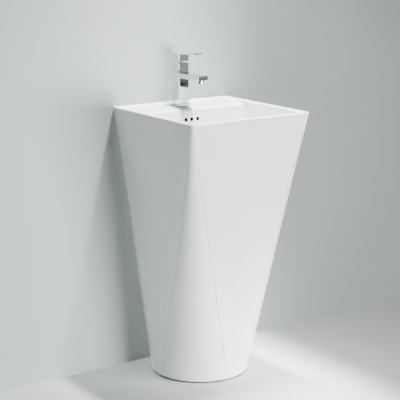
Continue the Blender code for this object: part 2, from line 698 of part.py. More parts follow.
def make_turret():
    """Turns in the housing and holds the pin that the stem tilts on."""
    shoulder = HOUSING_TOP - 0.001
    flange = CUP_RADIUS - GAP
    profile = [(0, TURRET_TOP), (TURRET_RADIUS, TURRET_TOP), (TURRET_RADIUS, shoulder), (flange, shoulder),
               (flange, FLANGE_UNDER), (0, FLANGE_UNDER)]
    turret = turned("turret", profile, TAP, GREY_PLASTIC)
    half = STEM_SIZE / 2 + GAP
    mill(turret, TAP + Vector((-half, -SLOT_FRONT, FLANGE_UNDER - WALL)),
         TAP + Vector((half, SLOT_BACK, TURRET_TOP + WALL)))
    reach = TURRET_RADIUS - 0.0008
    drill(turret, PIN_RADIUS + GAP, PIVOT, -2 * reach, 2 * reach, X, SMALL_ROUND)
    pin = cylinder("stem_pin", PIN_RADIUS, PIVOT, -reach, reach, STEEL, X, SMALL_ROUND, PIVOT)
    return turret, pin


def make_cartridge_nuts():
    outer, inner = HOUSING_RADIUS + GAP / 2, TURRET_RADIUS + GAP
    middle = COLUMN_HEIGHT - 0.0035
    ring("cartridge_nut", outer, inner, HOUSING_TOP + GAP, middle, TAP, BRASS)
    ring("cartridge_cover", outer, inner, middle + GAP, COLUMN_HEIGHT, TAP, CHROME)


STEM_TOP = HANDLE_TOP - BLADE_THICKNESS - 0.006


def make_stem():
    """Square stem that tilts on the pin. Its lower end is a ball that pushes the disc carrier."""
    half = STEM_SIZE / 2
    low = PIVOT - Vector((half, half, 0.8 * STEM_SIZE))
    stem = box("lever_stem", low, TAP + Vector((half, half, STEM_TOP)), STEEL, origin=PIVOT)
    arm = cylinder("stem_arm", 0.75 * half, PIVOT, -ARM_LENGTH, -half, segments=SMALL_ROUND)
    bm = bmesh.new()
    bmesh.ops.create_uvsphere(bm, u_segments=SMALL_ROUND, v_segments=8, radius=half)
    bmesh.ops.translate(bm, vec=BALL, verts=bm.verts)
    join(stem, arm, new_object("stem_ball", bm))
    return drill(stem, PIN_RADIUS + GAP, PIVOT, -STEM_SIZE, STEM_SIZE, X, SMALL_ROUND)


def make_handle():
    """Block and flat blade in one casting, held on the stem by a grub screw from behind."""
    front, back = TAP.y - COLUMN_HALF, TAP.y + COLUMN_HALF
    bottom = COLUMN_TOP + BLOCK_GAP
    tip = TAP.y - BLADE_REACH

    def blade(y):
        return LAND_Z + HANDLE_TOP + (TAP.y - y) * BLADE_RISE / BLADE_REACH

    outline = [(back, bottom + BLOCK_RELIEF), (back, blade(back)), (tip, blade(tip)),
               (tip, blade(tip) - BLADE_THICKNESS), (front, blade(front) - BLADE_THICKNESS),
               (front, bottom), (TAP.y, bottom)]
    handle = extruded("lever_handle", outline, COLUMN_HALF, CHROME, origin=PIVOT)
    socket = STEM_SIZE / 2 + GAP
    low, high = Vector((-socket, -socket, COLUMN_HEIGHT)), Vector((socket, socket, STEM_TOP + GAP))
    mill(handle, TAP + low, TAP + high)
    screw_radius, cap_radius, cap_depth = 0.0024, 0.0036, 0.0017
    place = Vector((0, TAP.y, bottom + 0.010))
    cap_front = COLUMN_HALF - cap_depth
    drill(handle, screw_radius + GAP, place, 0, COLUMN_SIZE, Y, SMALL_ROUND)
    drill(handle, cap_radius + GAP, place, cap_front - GAP, COLUMN_SIZE, Y, SMALL_ROUND)
    shape = (Y, SMALL_ROUND, PIVOT)
    screw = cylinder("grub_screw", screw_radius, place, socket, cap_front - 2 * GAP, STEEL, *shape)
    cap = cylinder("index_cap", cap_radius, place, cap_front, COLUMN_HALF, WHITE_PLASTIC, *shape)
    return handle, screw, cap


def make_tap():
    make_tap_base()
    make_mixer_body()
    make_tap_fixing()
    make_supply_tails()
    make_aerator()
    make_cartridge_housing()
    make_cartridge_nuts()
    turn_axis = pivot("handle_turn_axis", PIVOT)
    hang(turn_axis, *make_turret())
    slide_axis = pivot("disc_slide_axis", BALL)
    hang(slide_axis, *make_discs())
    lift_axis = pivot("lever_lift_axis", PIVOT)
    hang(lift_axis, make_stem(), *make_handle())
    hang(turn_axis, slide_axis, lift_axis)


# Waste. Heights are above its seat in the bowl.

TUBE_RADIUS = WASTE_TUBE / 2
TUBE_BORE = TUBE_RADIUS - WASTE_WALL
FLANGE_RADIUS = FLANGE_DIAMETER / 2
FLANGE_LOW, FLANGE_TOP = 0.0021, 0.0046
BAR_TOP = -0.034
BAR_BOTTOM = BAR_TOP - 0.006
CLICK_RADIUS = 0.007
CLICK_BOTTOM = -0.060
CLICK_FLOOR = CLICK_BOTTOM + 0.0035
CLICK_BORE = 0.0044
STEM_BOTTOM = -0.022
CAP_UNDER = FLANGE_TOP + PLUG_TRAVEL + 0.0004
CAP_TOP = CAP_UNDER + 0.006
BOSS_FACE = BOSS_BOTTOM - DRAIN.z


def make_waste_body():
    """Flange and tube, with windows for the overflow and a bar that carries the click unit."""
    low = FLANGE_LOW - 0.003
    profile = [(FLANGE_RADIUS, FLANGE_TOP - 0.001), (FLANGE_RADIUS, FLANGE_LOW), (TUBE_RADIUS, FLANGE_LOW),
               (TUBE_RADIUS, -WASTE_LENGTH), (TUBE_BORE, -WASTE_LENGTH), (TUBE_BORE, low),
               (TUBE_BORE + 0.004, FLANGE_TOP), (FLANGE_RADIUS - 0.002, FLANGE_TOP)]
    body = turned("waste_body", profile, DRAIN, CHROME)
    reach = TUBE_BORE + GAP
    half = CLICK_RADIUS + 0.0018
    low, high = Vector((-reach, -half, BAR_BOTTOM)), Vector((reach, half, BAR_TOP))
    join(body, box("waste_bar", DRAIN + low, DRAIN + high))
    drill(body, CLICK_RADIUS + GAP, DRAIN, BAR_BOTTOM - WALL, BAR_TOP + WALL)
    half, reach = CLICK_RADIUS + 0.002, DRAIN_HOLE
    mill(body, (-half, DRAIN.y - reach, DUCT_BOTTOM), (half, DRAIN.y + reach, DUCT_TOP))


def make_waste_seals():
    inner = TUBE_RADIUS + GAP
    ring("flange_seal", FLANGE_RADIUS - 0.0015, inner, GAP, FLANGE_LOW - GAP, DRAIN, RUBBER)
    top = BOSS_FACE - GAP
    low = top - 0.005
    profile = [(DRAIN_HOLE / 2 + 0.001, top), (DRAIN_HOLE / 2 + 0.006, low), (inner, low), (inner, top)]
    turned("backnut_seal", profile, DRAIN, RUBBER)
    top = low - GAP
    radius = DRAIN_HOLE / 2 + 0.008
    hex_nut("waste_backnut", radius, inner, DRAIN, top - 0.011, top, BRASS, segments=ROUND)


def make_click_unit():
    """The sleeve that guides the plug's stem, held on the bar of the waste by a nut."""
    collar = CLICK_RADIUS + 0.0022
    collar_low = BAR_TOP + GAP
    collar_top = collar_low + 0.003
    top = -0.005
    profile = [(0, CLICK_FLOOR), (CLICK_BORE, CLICK_FLOOR), (CLICK_BORE, top), (CLICK_RADIUS, top),
               (CLICK_RADIUS, collar_top), (collar, collar_top), (collar, collar_low),
               (CLICK_RADIUS, collar_low), (CLICK_RADIUS, CLICK_BOTTOM), (0, CLICK_BOTTOM)]
    turned("click_sleeve", profile, DRAIN, WHITE_PLASTIC)
    top = BAR_BOTTOM - GAP
    outer, inner = CLICK_RADIUS + 0.0035, CLICK_RADIUS + GAP
    hex_nut("click_nut", outer, inner, DRAIN, top - 0.005, top, BRASS, segments=ROUND)


def make_click_spring():
    """A coil between the floor of the sleeve and the plug's stem."""
    radius = 0.0005
    coil = CLICK_BORE - radius - LOOSE
    low = CLICK_FLOOR + GAP + radius
    high = STEM_BOTTOM - GAP - radius
    turns, steps = 6, 8
    count = turns * steps
    points = []
    for i in range(count + 1):
        angle = 2 * math.pi * i / steps
        points.append((coil * math.cos(angle), coil * math.sin(angle), low + (high - low) * i / count))
    wire("click_spring", points, radius, STEEL, 1, DRAIN)


def make_plug():
    """Cap, seal and stem, which go down together when pressed."""
    radius = CAP_DIAMETER / 2
    hub = 0.0075
    hub_low = CAP_UNDER - 0.005
    stem_radius = CLICK_BORE - LOOSE
    hole = stem_radius + GAP
    hole_top = CAP_TOP - 0.003
    profile = [(0, CAP_TOP), (0.6 * radius, CAP_TOP - 0.0007), (radius - 0.002, CAP_TOP - 0.002),
               (radius, CAP_TOP - 0.004), (radius, CAP_UNDER), (hub, CAP_UNDER), (hub, hub_low),
               (hole, hub_low), (hole, hole_top), (0, hole_top)]
    cap = turned("waste_plug", profile, DRAIN, CHROME)
    seal = ring("plug_seal", TUBE_BORE - GAP, hub + GAP, hub_low, CAP_UNDER - GAP, DRAIN, RUBBER)
    stem = cylinder("plug_stem", stem_radius, DRAIN, STEM_BOTTOM, hole_top - GAP, BRASS, origin=DRAIN)
    hang(pivot("plug_press_axis", DRAIN), cap, seal, stem)


# Trap, inside the pedestal. Heights are above the waste seat.

DIP_RADIUS = TRAP_PIPE / 2
DIP_BORE = DIP_RADIUS - PIPE_WALL
HEAD_RADIUS = 0.031
HEAD_TOP = -OUTLET_DROP + 0.022
HEAD_BOTTOM = -OUTLET_DROP - 0.033
HEAD_BORE = HEAD_RADIUS - 0.003
NECK_TOP = HEAD_TOP + 0.018
NECK_RADIUS = DIP_RADIUS + 0.008
OUTLET_REACH = 0.055
OUTLET_RADIUS = DIP_RADIUS + 0.006


def make_trap_inlet():
    """A washer and nut join the dip tube to the lower end of the waste."""
    end = -WASTE_LENGTH
    washer_low = end - GAP - 0.0022
    ring("inlet_washer", TUBE_RADIUS, DIP_BORE, washer_low, end - GAP, DRAIN, RUBBER)
    bead = TUBE_RADIUS - GAP
    bead_top = washer_low - GAP
    bead_low = bead_top - 0.002
    tube_low = HEAD_BOTTOM - 0.020
    profile = [(bead, bead_top), (bead, bead_low), (DIP_RADIUS, bead_low), (DIP_RADIUS, tube_low),
               (DIP_BORE, tube_low), (DIP_BORE, bead_top)]
    turned("dip_tube", profile, DRAIN, CHROME)
    lip_top = bead_low - GAP
    lip_low = lip_top - 0.003
    skirt_top = end + 0.012
    outer, socket, hole = TUBE_RADIUS + 0.0042, TUBE_RADIUS + GAP, DIP_RADIUS + GAP
    profile = [(outer, skirt_top), (outer, lip_low), (hole, lip_low), (hole, lip_top), (socket, lip_top),
               (socket, skirt_top)]
    turned("trap_inlet_nut", profile, DRAIN, CHROME)


def make_trap_body():
    """The head of the bottle trap, with a neck on top and the outlet towards the wall."""
    profile = [(0, NECK_TOP), (NECK_RADIUS, NECK_TOP), (NECK_RADIUS, HEAD_TOP), (HEAD_RADIUS, HEAD_TOP),
               (HEAD_RADIUS, HEAD_BOTTOM), (0, HEAD_BOTTOM)]
    body = turned("trap_body", profile, DRAIN, CHROME)
    axis = Vector((0, DRAIN.y, OUTLET_Z))
    join(body, cylinder("outlet_boss", OUTLET_RADIUS, axis, HEAD_RADIUS / 2, OUTLET_REACH, axis=Y))
    drill(body, HEAD_BORE, DRAIN, HEAD_BOTTOM - WALL, HEAD_TOP - 0.003)
    drill(body, DIP_RADIUS + LOOSE, DRAIN, HEAD_TOP - WALL, NECK_TOP + WALL)
    drill(body, DIP_RADIUS + LOOSE, axis, HEAD_RADIUS - WALL, OUTLET_REACH + WALL, Y)


def cap_nut(name, socket, pipe, face, centre, along_y=False):
    """A nut with a skirt over a threaded end at height face, and a lip that presses the washer on it."""
    washer_top = face + GAP + 0.0027
    washer_values = (face + GAP, washer_top, centre, RUBBER, ROUND, along_y)
    ring(f"{name}_washer", socket - GAP, pipe + GAP, *washer_values)
    lip_low = washer_top + GAP
    lip_top = lip_low + 0.003
    skirt = face - 0.015
    outer, inner, hole = socket + 0.0045, socket + GAP, pipe + GAP
    profile = [(outer, lip_top), (outer, skirt), (inner, skirt), (inner, lip_low), (hole, lip_low),
               (hole, lip_top)]
    turned(f"{name}_nut", profile, centre, CHROME, ROUND, along_y)


def make_trap_cup():
    seal_low = HEAD_BOTTOM - GAP - 0.0015
    spigot = HEAD_BORE - GAP
    ring("cup_seal", HEAD_RADIUS, spigot + GAP, seal_low, HEAD_BOTTOM - GAP, DRAIN, RUBBER)
    wall = 0.0022
    inner = spigot - wall
    top, flange_top, bottom = HEAD_BOTTOM + 0.009, seal_low - GAP, -TRAP_LENGTH
    flange, side = HEAD_RADIUS + 0.0015, HEAD_RADIUS - 0.002
    profile = [(0, bottom + wall), (inner - wall, bottom + wall), (inner, bottom + 2 * wall), (inner, top),
               (spigot, top), (spigot, flange_top), (flange, flange_top), (flange, flange_top - 0.010),
               (side, flange_top - 0.012), (side, bottom + 0.005), (side - 0.005, bottom), (0, bottom)]
    turned("trap_cup", profile, DRAIN, CHROME)


def make_trap_outlet():
    centre = Vector((0, 0, OUTLET_Z))
    boss_end = DRAIN.y + OUTLET_REACH
    wall_end = BACK_Y - GAP
    cap_nut("outlet", OUTLET_RADIUS, DIP_RADIUS, boss_end, centre, True)
    ring("outlet_pipe", DIP_RADIUS, DIP_BORE, boss_end - 0.020, wall_end, centre, CHROME, ROUND, True)
    hole, rim = DIP_RADIUS + GAP, DIP_RADIUS + 0.018
    front = wall_end - 0.008
    profile = [(hole, front), (hole, wall_end), (rim, wall_end), (rim, wall_end - 0.002),
               (hole + 0.002, front)]
    turned("wall_flange", profile, centre, CHROME, ROUND, True)


make_casting()
make_floor_seal()
make_wall_fixings()
make_tap()
make_waste_body()
make_waste_seals()
make_click_unit()
make_click_spring()
make_plug()
make_trap_inlet()
make_trap_body()
cap_nut("neck", NECK_RADIUS, DIP_RADIUS, NECK_TOP, DRAIN)
make_trap_cup()
make_trap_outlet()
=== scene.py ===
# %% [markdown]
# # A pedestal basin in white china
#
# The basin and its pedestal are one casting: a square top that turns, going
# down, into a round foot. On its deck stands a chrome mixer tap, in the bowl
# sits a click waste, and inside the pedestal hang the trap and the two supply
# tails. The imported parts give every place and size. This script gives them
# their real surfaces, edges and finishes.

# %% Frame
import json
import math

import bmesh
import bpy
import numpy as np
from mathutils import Matrix, Vector

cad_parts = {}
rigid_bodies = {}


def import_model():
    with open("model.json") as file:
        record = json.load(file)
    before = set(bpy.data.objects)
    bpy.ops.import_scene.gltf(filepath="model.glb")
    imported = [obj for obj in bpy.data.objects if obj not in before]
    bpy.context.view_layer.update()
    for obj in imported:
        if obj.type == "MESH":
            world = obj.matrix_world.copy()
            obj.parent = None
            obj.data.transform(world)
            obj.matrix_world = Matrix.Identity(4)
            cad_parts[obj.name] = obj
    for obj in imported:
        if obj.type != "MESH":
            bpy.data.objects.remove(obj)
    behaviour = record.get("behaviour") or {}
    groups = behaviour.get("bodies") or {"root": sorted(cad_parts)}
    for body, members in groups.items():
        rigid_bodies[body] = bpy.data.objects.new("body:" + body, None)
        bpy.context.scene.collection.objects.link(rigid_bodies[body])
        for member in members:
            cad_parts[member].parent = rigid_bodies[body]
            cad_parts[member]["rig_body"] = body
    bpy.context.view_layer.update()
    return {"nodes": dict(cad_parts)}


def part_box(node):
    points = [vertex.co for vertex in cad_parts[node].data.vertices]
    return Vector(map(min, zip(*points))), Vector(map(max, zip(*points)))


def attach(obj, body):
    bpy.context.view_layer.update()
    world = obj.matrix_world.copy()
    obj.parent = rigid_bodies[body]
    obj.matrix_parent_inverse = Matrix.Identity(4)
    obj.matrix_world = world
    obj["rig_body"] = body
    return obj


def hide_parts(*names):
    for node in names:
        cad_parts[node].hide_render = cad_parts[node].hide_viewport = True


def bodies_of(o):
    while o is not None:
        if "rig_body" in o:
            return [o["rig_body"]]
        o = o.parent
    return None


for startup in list(bpy.data.objects):
    bpy.data.objects.remove(startup)
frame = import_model()
nodes = frame["nodes"]

# %% [markdown]
# ## Places
#
# Every place is read from the parts, so this script can't drift away from
# them. Lengths are in metres, and mm turns a size that a maker would write in
# millimetres into them. GAP is what the parts leave between two that meet.

# %% Places
mm = 0.001


def span(node):
    """Lowest corner, highest corner and middle of a part."""
    low, high = (Vector(corner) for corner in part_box(node))
    return low, high, (low + high) / 2


casting_low, casting_high, _ = span("basin_pedestal")
rim_z = casting_high.z
half_top = casting_high.x
GAP = 0.3 * mm
seal_low, _, drain = span("flange_seal")
drain.z = seal_low.z - GAP
land_low, _, tap = span("tap_base_gasket")
tap.z = land_low.z - GAP
OVERFLOW_DROP = 44.5 * mm
overflow_z = rim_z - OVERFLOW_DROP
FOOT_OVERHANG = 2 * mm
foot_radius = span("floor_seal")[1].x + FOOT_OVERHANG
foot_y = span("floor_seal")[2].y
outlet_z = span("outlet_pipe")[2].z
print("drain", tuple(drain), "tap", tuple(tap), "foot", foot_radius, foot_y)

# %% [markdown]
# ## The shape of the casting
#
# Real sanitaryware is cast from liquid clay in a plaster mould and then
# glazed, so it has no sharp edge anywhere: every corner, inside and out,
# carries a radius of a few millimetres. Booleans and bevels can make that, but
# they leave long thin faces that shade badly just where the glaze catches the
# light. Here the casting is a distance function instead. Each simple shape
# gives, for a point in space, how far it lies outside, and two shapes are
# joined with a true fillet between them.

# %% Distances


def round_max(a, b, radius):
    """Where both shapes are: the larger distance, its edge rounded."""
    both = np.hypot(np.maximum(a + radius, 0), np.maximum(b + radius, 0))
    return np.minimum(np.maximum(a, b), -radius) + both


def less(a, b, radius):
    return round_max(a, -b, radius)


def plus(a, b, radius):
    return -round_max(-a, -b, radius)


def rounded_rectangle(u, v, half_u, half_v, radius):
    du, dv = np.abs(u) - half_u + radius, np.abs(v) - half_v + radius
    return np.hypot(np.maximum(du, 0), np.maximum(dv, 0)) + np.minimum(np.maximum(du, dv), 0) - radius


def block(x, y, z, low, high, radius):
    """A box with rounded edges, whose x range is the same on both sides."""
    middle = [(a + b) / 2 for a, b in zip(low, high)]
    half = [(b - a) / 2 for a, b in zip(low, high)]
    flat = rounded_rectangle(x - middle[0], y - middle[1], half[0], half[1], radius)
    return round_max(flat, np.abs(z - middle[2]) - half[2], radius)


# %% [markdown]
# Outside, the casting is a ruled surface: straight lines run from a square
# with 6 mm corners just below the rim to the circle of the foot. That leaves
# four flat triangles, which point down, and between them four parts of cones,
# which point up to the corners. The flats stand a little proud of the cones,
# so a small soft step runs down from each corner on both sides.

# %% Outside of the casting
CORNER_TOP = 6 * mm
RIM_EDGE = 4 * mm
WALL = 11 * mm
STEP_WIDTH, STEP_DEPTH = 5 * mm, 2.1 * mm


def into_cone(x, y, z):
    """How far a point is inside the edges of the cone that it faces, and the cone's radius there."""
    share = 1 - np.clip(z / (rim_z - RIM_EDGE), 0, 1)
    flat = (1 - share) * (half_top - CORNER_TOP)
    radius = (1 - share) * CORNER_TOP + share * foot_radius
    return np.minimum(np.abs(x), np.abs(y - share * foot_y)) - flat, radius


def hull(x, y, z, inset):
    share = 1 - np.clip(z / (rim_z - RIM_EDGE), 0, 1)
    half = (1 - share) * half_top + share * foot_radius - inset
    radius = np.maximum((1 - share) * CORNER_TOP + share * foot_radius - inset, 2 * mm)
    return rounded_rectangle(x, y - share * foot_y, half, half, radius)


def stepped_hull(x, y, z):
    depth, radius = into_cone(x, y, z)
    t = np.clip(depth / STEP_WIDTH, 0, 1)
    fade = np.clip(radius / (30 * mm), 0, 1)
    return hull(x, y, z, 0) + STEP_DEPTH * fade * t * t * (3 - 2 * t)


# %% [markdown]
# Inside the rim, the bowl and the shallow deck behind it are one recess. Its
# floor is a step: the deck slopes gently forward to a lip with an 8 mm radius,
# and there the rear wall of the bowl drops to a floor that falls to the waste
# from every side.

# %% Bowl and deck
BOWL_HALF = half_top - 15 * mm
BOWL_BACK = 105 * mm
LIP_RADIUS = 8 * mm
FLOOR_FILLET = 30 * mm
WALL_DEPTH = 105 * mm
DRAFT = 14 * mm
DECK_BACK_DROP, DECK_FRONT_DROP = 4.5 * mm, 12 * mm
FLOOR_FALL = 0.072
SEAT_RADIUS = 32.7 * mm


def deck_z(y):
    share = (BOWL_HALF - y) / (BOWL_HALF - BOWL_BACK)
    return rim_z - DECK_BACK_DROP - share * (DECK_FRONT_DROP - DECK_BACK_DROP)


def recess(x, y, z):
    depth = rim_z - z
    inset = DRAFT * np.clip(depth / WALL_DEPTH, 0, 1)
    corner = np.interp(depth, [0, WALL_DEPTH], [10 * mm, 34 * mm])
    sides = rounded_rectangle(x, y, BOWL_HALF - inset, BOWL_HALF - inset, corner)
    step = plus(y - (BOWL_BACK - inset), deck_z(y) - z, LIP_RADIUS)
    heights = [0, DECK_FRONT_DROP, 2.5 * DECK_FRONT_DROP, WALL_DEPTH]
    cove = np.interp(depth, heights, [4 * mm, 5 * mm, 14 * mm, 34 * mm])
    away = np.hypot(x - drain.x, y - drain.y) - SEAT_RADIUS
    floor = drain.z + FLOOR_FALL * np.sqrt(np.maximum(away, 0) ** 2 + (2 * mm) ** 2) - FLOOR_FALL * 2 * mm
    return round_max(round_max(sides, step, cove), floor - z, FLOOR_FILLET)


# %% [markdown]
# The rest is where water and pipes go: the hollow of the pedestal, the space
# under the deck, the overflow passage behind the bowl, three overflow holes,
# the tap hole in its flat land, the waste hole, two holes for the wall studs,
# and the opening in the back.

# %% Whole casting
FOOT_Z = casting_low.z
HOLLOW_TOP = drain.z - 14 * mm
PASSAGE_TOP = drain.z - 8.3 * mm
PASSAGE_LOW = PASSAGE_TOP - 11 * mm
LAND_HALF = 26 * mm
OVERFLOW_HOLES, OVERFLOW_RADIUS = (0, 22 * mm), 5.5 * mm
WASTE_HOLE_RADIUS, TAP_HOLE_RADIUS = 23 * mm, 17.5 * mm
STUD_X, STUD_Z, STUD_HOLE_RADIUS = 140 * mm, 760 * mm, 6.8 * mm
OPENING_Z, OPENING_HALF_X, OPENING_HALF_Z = 376.5 * mm, 85 * mm, 226.5 * mm
OPENING_CORNER, OPENING_FRONT = 33 * mm, 136 * mm


def hole(u, v, w, radius, low, high):
    """A round hole along w."""
    return np.maximum(np.hypot(u, v) - radius, np.abs(w - (low + high) / 2) - (high - low) / 2)


def cavity(x, y, z):
    """The hollow of the pedestal and the space under the deck."""
    pedestal = round_max(hull(x, y, z, WALL), z - HOLLOW_TOP, 8 * mm)
    under_deck = block(x, y, z, (-180 * mm, 117 * mm, 675 * mm), (180 * mm, 204 * mm, 822 * mm), 4 * mm)
    return plus(pedestal, under_deck, 4 * mm)


def china(points):
    """Distance outside the finished casting, for many points at once."""
    x, y, z = np.abs(points[:, 0]), points[:, 1], points[:, 2]
    body = round_max(stepped_hull(x, y, z), z - rim_z, RIM_EDGE)
    body = round_max(body, FOOT_Z - z, 1.5 * mm)
    body = less(body, cavity(x, y, z), 3 * mm)
    down = block(x, y, z, (-37 * mm, 111 * mm, PASSAGE_LOW - 8 * mm), (37 * mm, 132 * mm, 827 * mm), 3 * mm)
    boss = block(x, y, z, (-37 * mm, -86.5 * mm, PASSAGE_LOW - 8 * mm), (37 * mm, 130 * mm, 694 * mm), 3 * mm)
    body = plus(body, np.minimum(down, boss), 4 * mm)
    body = less(body, recess(x, y, z), 5 * mm)
    passage_top = overflow_z + 6 * mm
    down = block(x, y, z, (-29 * mm, 113 * mm, PASSAGE_LOW), (29 * mm, 124 * mm, passage_top), 2 * mm)
    ahead = block(x, y, z, (-21 * mm, drain.y, PASSAGE_LOW), (21 * mm, 118.5 * mm, PASSAGE_TOP), 2 * mm)
    body = less(body, np.minimum(down, ahead), 1 * mm)
    for middle in OVERFLOW_HOLES:
        overflow = hole(x - middle, z - overflow_z, y, OVERFLOW_RADIUS, 85 * mm, 118 * mm)
        body = less(body, overflow, 0.5 * mm)
    body = less(body, hole(x, y - drain.y, z, WASTE_HOLE_RADIUS, 660 * mm, 710 * mm), 1.2 * mm)
    land = np.maximum(rounded_rectangle(x, y - tap.y, LAND_HALF, LAND_HALF, 3 * mm), tap.z - z)
    body = less(body, land, 0.8 * mm)
    body = less(body, hole(x, y - tap.y, z, TAP_HOLE_RADIUS, 800 * mm, 860 * mm), 1 * mm)
    stud_hole = hole(x - STUD_X, z - STUD_Z, y, STUD_HOLE_RADIUS, 195 * mm, 225 * mm)
    body = less(body, stud_hole, 0.8 * mm)
    opening = rounded_rectangle(x, z - OPENING_Z, OPENING_HALF_X, OPENING_HALF_Z, OPENING_CORNER)
    return less(body, np.maximum(opening, OPENING_FRONT - y), 3 * mm)


# %% [markdown]
# A mesh comes out of the distances by surface nets. Space is cut into cells,
# small ones round the rim, deck and holes and long ones down the pedestal. A
# cell that the surface crosses gets one point, and each cell edge that it
# crosses gets one face through the four cells around it. Then every point is
# pulled onto the exact surface along the slope of the distance, and the same
# slope gives its shading normal, so a glaze radius of 4 mm stays clean.

# %% Surface nets


def spaced(*runs):
    """Grid lines: each run is (end, step), and the first gives the start."""
    lines = [runs[0][0]]
    for end, step in runs[1:]:
        count = max(1, round((end - lines[-1]) / step))
        lines += list(np.linspace(lines[-1], end, count + 1)[1:])
    return np.array(lines) * mm


def surface_nets(distance, xs, ys, zs):
    """(points, faces) of the surface where distance is 0."""
    shape = (len(xs), len(ys), len(zs))
    grid = np.empty(shape, np.float32)
    for i, x in enumerate(xs):
        y, z = np.meshgrid(ys, zs, indexing="ij")
        grid[i] = distance(np.stack([np.full(y.size, x), y.ravel(), z.ravel()], 1)).reshape(y.shape)
    inside = grid < 0
    corners = [(i, j, k) for i in (0, 1) for j in (0, 1) for k in (0, 1)]
    count = np.zeros([n - 1 for n in shape], np.int8)
    for i, j, k in corners:
        count += inside[i : shape[0] - 1 + i, j : shape[1] - 1 + j, k : shape[2] - 1 + k]
    cells = np.argwhere((count > 0) & (count < 8))
    number = np.full(count.shape, -1, np.int64)
    number[tuple(cells.T)] = np.arange(len(cells))
    axes = (xs, ys, zs)
    total, crossings = np.zeros((len(cells), 3)), np.zeros(len(cells))
    for a in corners:
        for axis in range(3):
            if a[axis]:
                continue
            b = tuple(v + (n == axis) for n, v in enumerate(a))
            at_a, at_b = cells + a, cells + b
            va, vb = grid[tuple(at_a.T)], grid[tuple(at_b.T)]
            crossed = (va < 0) != (vb < 0)
            share = np.where(crossed, va / np.where(crossed, va - vb, 1), 0)[:, None]
            pa = np.stack([axes[n][at_a[:, n]] for n in range(3)], 1)
            pb = np.stack([axes[n][at_b[:, n]] for n in range(3)], 1)
            total += crossed[:, None] * (pa + share * (pb - pa))
            crossings += crossed
    points = total / crossings[:, None]
    faces = []
    for axis in range(3):
        u, v = (axis + 1) % 3, (axis + 2) % 3
        low = np.moveaxis(inside, axis, 0)[:-1]
        high = np.moveaxis(inside, axis, 0)[1:]
        at = np.argwhere(low != high)
        starts_inside = low[tuple(at.T)]
        full = np.empty_like(at)
        full[:, axis] = at[:, 0]
        rest = [n for n in range(3) if n != axis]
        full[:, rest[0]], full[:, rest[1]] = at[:, 1], at[:, 2]
        quad = []
        for du, dv in ((-1, -1), (0, -1), (0, 0), (-1, 0)):
            cell = full.copy()
            cell[:, u] += du
            cell[:, v] += dv
            quad.append(number[tuple(cell.T)])
        quad = np.stack(quad, 1)
        quad[~starts_inside] = quad[~starts_inside][:, ::-1]
        faces.append(quad)
    return points, np.concatenate(faces)


def slope(distance, points, reach=0.1 * mm):
    found = np.empty_like(points)
    for axis in range(3):
        step = np.zeros(3)
        step[axis] = reach
        found[:, axis] = (distance(points + step) - distance(points - step)) / (2 * reach)
    return found


def pulled(distance, points, rounds=6):
    """The points moved onto the surface, at most 1 mm a round, and their normals."""
    for _ in range(rounds):
        normal = slope(distance, points)
        size = np.maximum((normal**2).sum(1, keepdims=True), 0.05)
        move = -distance(points)[:, None] * normal / size
        length = np.linalg.norm(move, axis=1, keepdims=True)
        points = points + move * np.minimum(1, 1 * mm / np.maximum(length, 1e-9))
    normal = slope(distance, points)
    return points, normal / np.maximum(np.linalg.norm(normal, axis=1, keepdims=True), 1e-9)


# %% [markdown]
# Where cells are long, some faces of the net fold over. So the grid is cut
# fine and the mesh then thinned, which drops thin and folded faces first. The
# faces along the soft steps beside the cones are then cut finer again, so that
# the steps stay even. The points are drawn back onto the surface after each.
# The grid's runs are (end, step) in millimetres, fine at the rim and the holes.

# %% Casting mesh
MOST_TRIANGLES = 118000
SKIN, BESIDE_STEP, STEP_TOP = 4 * mm, 1 * mm, 800 * mm


def thinned(points, faces, most):
    """The mesh cut down to about this many triangles."""
    mesh = bpy.data.meshes.new("fine_casting")
    mesh.from_pydata(points.tolist(), [], faces.tolist())
    mesh.validate()
    obj = bpy.data.objects.new("fine_casting", mesh)
    bpy.context.scene.collection.objects.link(obj)
    collapse = obj.modifiers.new("thin", "DECIMATE")
    collapse.ratio = most / (2 * len(faces))
    collapse.use_collapse_triangulate = True
    thin = bpy.data.meshes.new_from_object(obj.evaluated_get(bpy.context.evaluated_depsgraph_get()))
    made, corners = np.empty(3 * len(thin.vertices)), np.empty(3 * len(thin.polygons), int)
    thin.vertices.foreach_get("co", made)
    thin.polygons.foreach_get("vertices", corners)
    bpy.data.objects.remove(obj)
    for spent in (mesh, thin):
        bpy.data.meshes.remove(spent)
    return made.reshape(-1, 3), corners.reshape(-1, 3)


def finer(points, faces, chosen, cuts=2):
    """The mesh with its chosen faces cut up, as (points, faces)."""
    mesh = bpy.data.meshes.new("finer")
    mesh.from_pydata(points.tolist(), [], faces.tolist())
    bm = bmesh.new()
    bm.from_mesh(mesh)
    bm.faces.ensure_lookup_table()
    edges = {edge for i in np.flatnonzero(chosen) for edge in bm.faces[i].edges}
    bmesh.ops.subdivide_edges(bm, edges=list(edges), cuts=cuts, use_grid_fill=True)
    bmesh.ops.triangulate(bm, faces=[face for face in bm.faces if len(face.verts) > 3])
    bm.verts.index_update()
    made = np.array([tuple(v.co) for v in bm.verts])
    cut_faces = np.array([[v.index for v in face.verts] for face in bm.faces])
    bm.free()
    bpy.data.meshes.remove(mesh)
    return made, cut_faces


